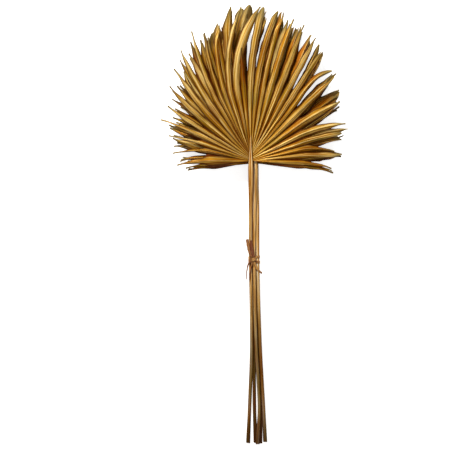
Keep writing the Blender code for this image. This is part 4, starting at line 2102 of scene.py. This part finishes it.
@dataclass
class Studio:
    """A white paper sweep, soft lights and a camera that looks straight down on the bunch.

    Attributes:
        low: the lowest corner of the bunch, in metres.
        high: its highest corner.
        lamps: the lights.
        air: how bright the air round the bunch is.
        view_width: how wide the picture is at the bunch, in metres.
        off_centre: where the camera is from the middle of the bunch, in metres.
        lens: its focal length in millimetres.
        sensor: the width of its sensor in millimetres.
        paper_side: half the width of the paper, in metres.
        paper_gap: how far the paper lies under the bunch, in metres.
    """

    low: Vector
    high: Vector
    lamps: Sequence[Lamp] = (
        Lamp("key", (-0.56, 1.06, 1.35), 0.35, 34.0, "#FFF6E8"),
        Lamp("fill", (0.9, -0.9, 1.6), 1.2, 4.0, "#F4F7FF"),
        Lamp("top", (0.0, 0.0, 2.4), 1.2, 6.0, "#FFFFFF", along=0.0),
    )
    air: float = 0.15
    view_width: float = 0.7172
    off_centre: Pair = (-0.0467, -0.0008)
    lens: float = 200.0
    sensor: float = 36.0
    paper_side: float = 6.0
    paper_gap: float = 0.0002

    def build(self) -> None:
        """Makes the paper, the lights, the air and the camera."""
        middle = 0.5 * (self.low + self.high)
        self.paper()
        for lamp in self.lamps:
            lamp.place(middle)
        scene = bpy.context.scene
        scene.world = bpy.data.worlds.new("studio_air")
        scene.world.use_nodes = True
        scene.world.node_tree.nodes["Background"].inputs[0].default_value = srgb("#FFFFFF")
        scene.world.node_tree.nodes["Background"].inputs[1].default_value = self.air
        scene.view_settings.view_transform = "Standard"
        scene.camera = self.camera(middle)

    def paper(self) -> None:
        """Lays the paper under the bunch."""
        sheet = bmesh.new()
        bmesh.ops.create_grid(sheet, x_segments=4, y_segments=4, size=self.paper_side)
        paper = make_piece("paper_sweep", sheet, [PaperSweep().make()])
        paper.location.z = self.low.z - self.paper_gap
        paper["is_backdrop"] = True

    def camera(self, middle: Vector) -> Piece:
        """Hangs the camera straight above, with the leaf tips towards the top of its view.

        Args:
            middle: the middle of the bunch.

        Returns:
            The camera.
        """
        eye = bpy.data.cameras.new("camera")
        eye.sensor_width = self.sensor
        eye.lens = self.lens
        eye.clip_end = 50.0
        holder = bpy.data.objects.new("camera", eye)
        distance = self.view_width * self.lens / self.sensor
        x, y = self.off_centre
        holder.location = (middle.x + x, middle.y + y, middle.z + distance)
        bpy.context.scene.collection.objects.link(holder)
        return holder


# ---------------------------------------------------------------- the bunch

UPPER_ROW = 8.3
LOWER_ROW = 3.4
FRONDS = (
    Frond(number=1, hub=(-4.8, 100.8), size=1.0, hub_scale=1.52, seed=25, tie=(-5.1, UPPER_ROW),
          middle=(-3.0, 7.6), low=(-6.4, 3.2), end=(-8.6, -350.2, 2.24)),
    Frond(number=2, hub=(3.4, 97.0), turn=-2.6, size=0.97, count=27, hub_scale=1.14, seed=10,
          tie=(0.8, UPPER_ROW), middle=(3.7, 7.9), low=(9.2, 7.6), end=(6.6, -351.6, 7.7),
          tone=0.9, special=Lobe(107.0, 99.5, 253.0, TipStyle.POINTED, 0.75, 2.8)),
    Frond(number=3, hub=(5.2, 99.0), turn=-3.6, size=0.95, count=27, hub_scale=0.98, seed=42,
          tie=(6.6, UPPER_ROW), middle=(10.3, 7.7), low=(16.3, 7.3), end=(18.8, -348.4, 3.2),
          tone=0.8, special=Lobe(106.0, 92.3, 251.0, TipStyle.BLUNT, 0.75, 1.9)),
    # Fronds 4 and 5 lie under the others: their stems keep little lacquer and are painted in shade
    # all round.
    Frond(number=4, hub=(-3.0, 103.0), turn=3.4, size=0.95, count=26, hub_scale=1.1, seed=9,
          tie=(-2.0, LOWER_ROW), middle=(0.6, 2.5), low=(1.6, 2.3), end=(3.2, -350.0, 2.24),
          tone=0.72, special=Lobe(43.0, 39.4, 179.0, TipStyle.POINTED, 0.7, 1.7), lacquer_and_light=0.2),
    Frond(number=5, hub=(0.0, 100.0), turn=0.8, size=0.97, count=26, hub_scale=1.1, seed=23,
          tie=(3.9, LOWER_ROW), middle=(7.0, 2.5), low=(12.0, 2.3), end=(10.9, -350.8, 2.24),
          tone=0.72, lacquer_and_light=0.2),
)


def report(piece: Piece) -> None:
    """Logs a piece's name and size."""
    size = ", ".join(f"{1000 * side:.1f}" for side in piece.dimensions)
    LOG.info("%s: %s mm, %d faces", piece.name, size, len(piece.data.polygons))


def main() -> None:
    """Builds the bunch round the frame, piece by piece, and then the studio."""
    logging.basicConfig(level=logging.INFO, format="%(name)s %(message)s")
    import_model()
    cad_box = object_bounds()
    leaf = GoldLacqueredLeaf().make()
    stalk = LacqueredStalk().make()
    raffia = DryRaffia().make()
    stems = []
    for frond in FRONDS:
        report(frond.blade().build(leaf))
        stem = frond.stem()
        stems.append(stem)
        report(stem.build(stalk))
    for piece in RaffiaTie(stems).build(raffia):
        report(piece)
    bpy.context.view_layer.update()
    Studio(*cad_box).build()


if __name__ == "__main__":
    main()
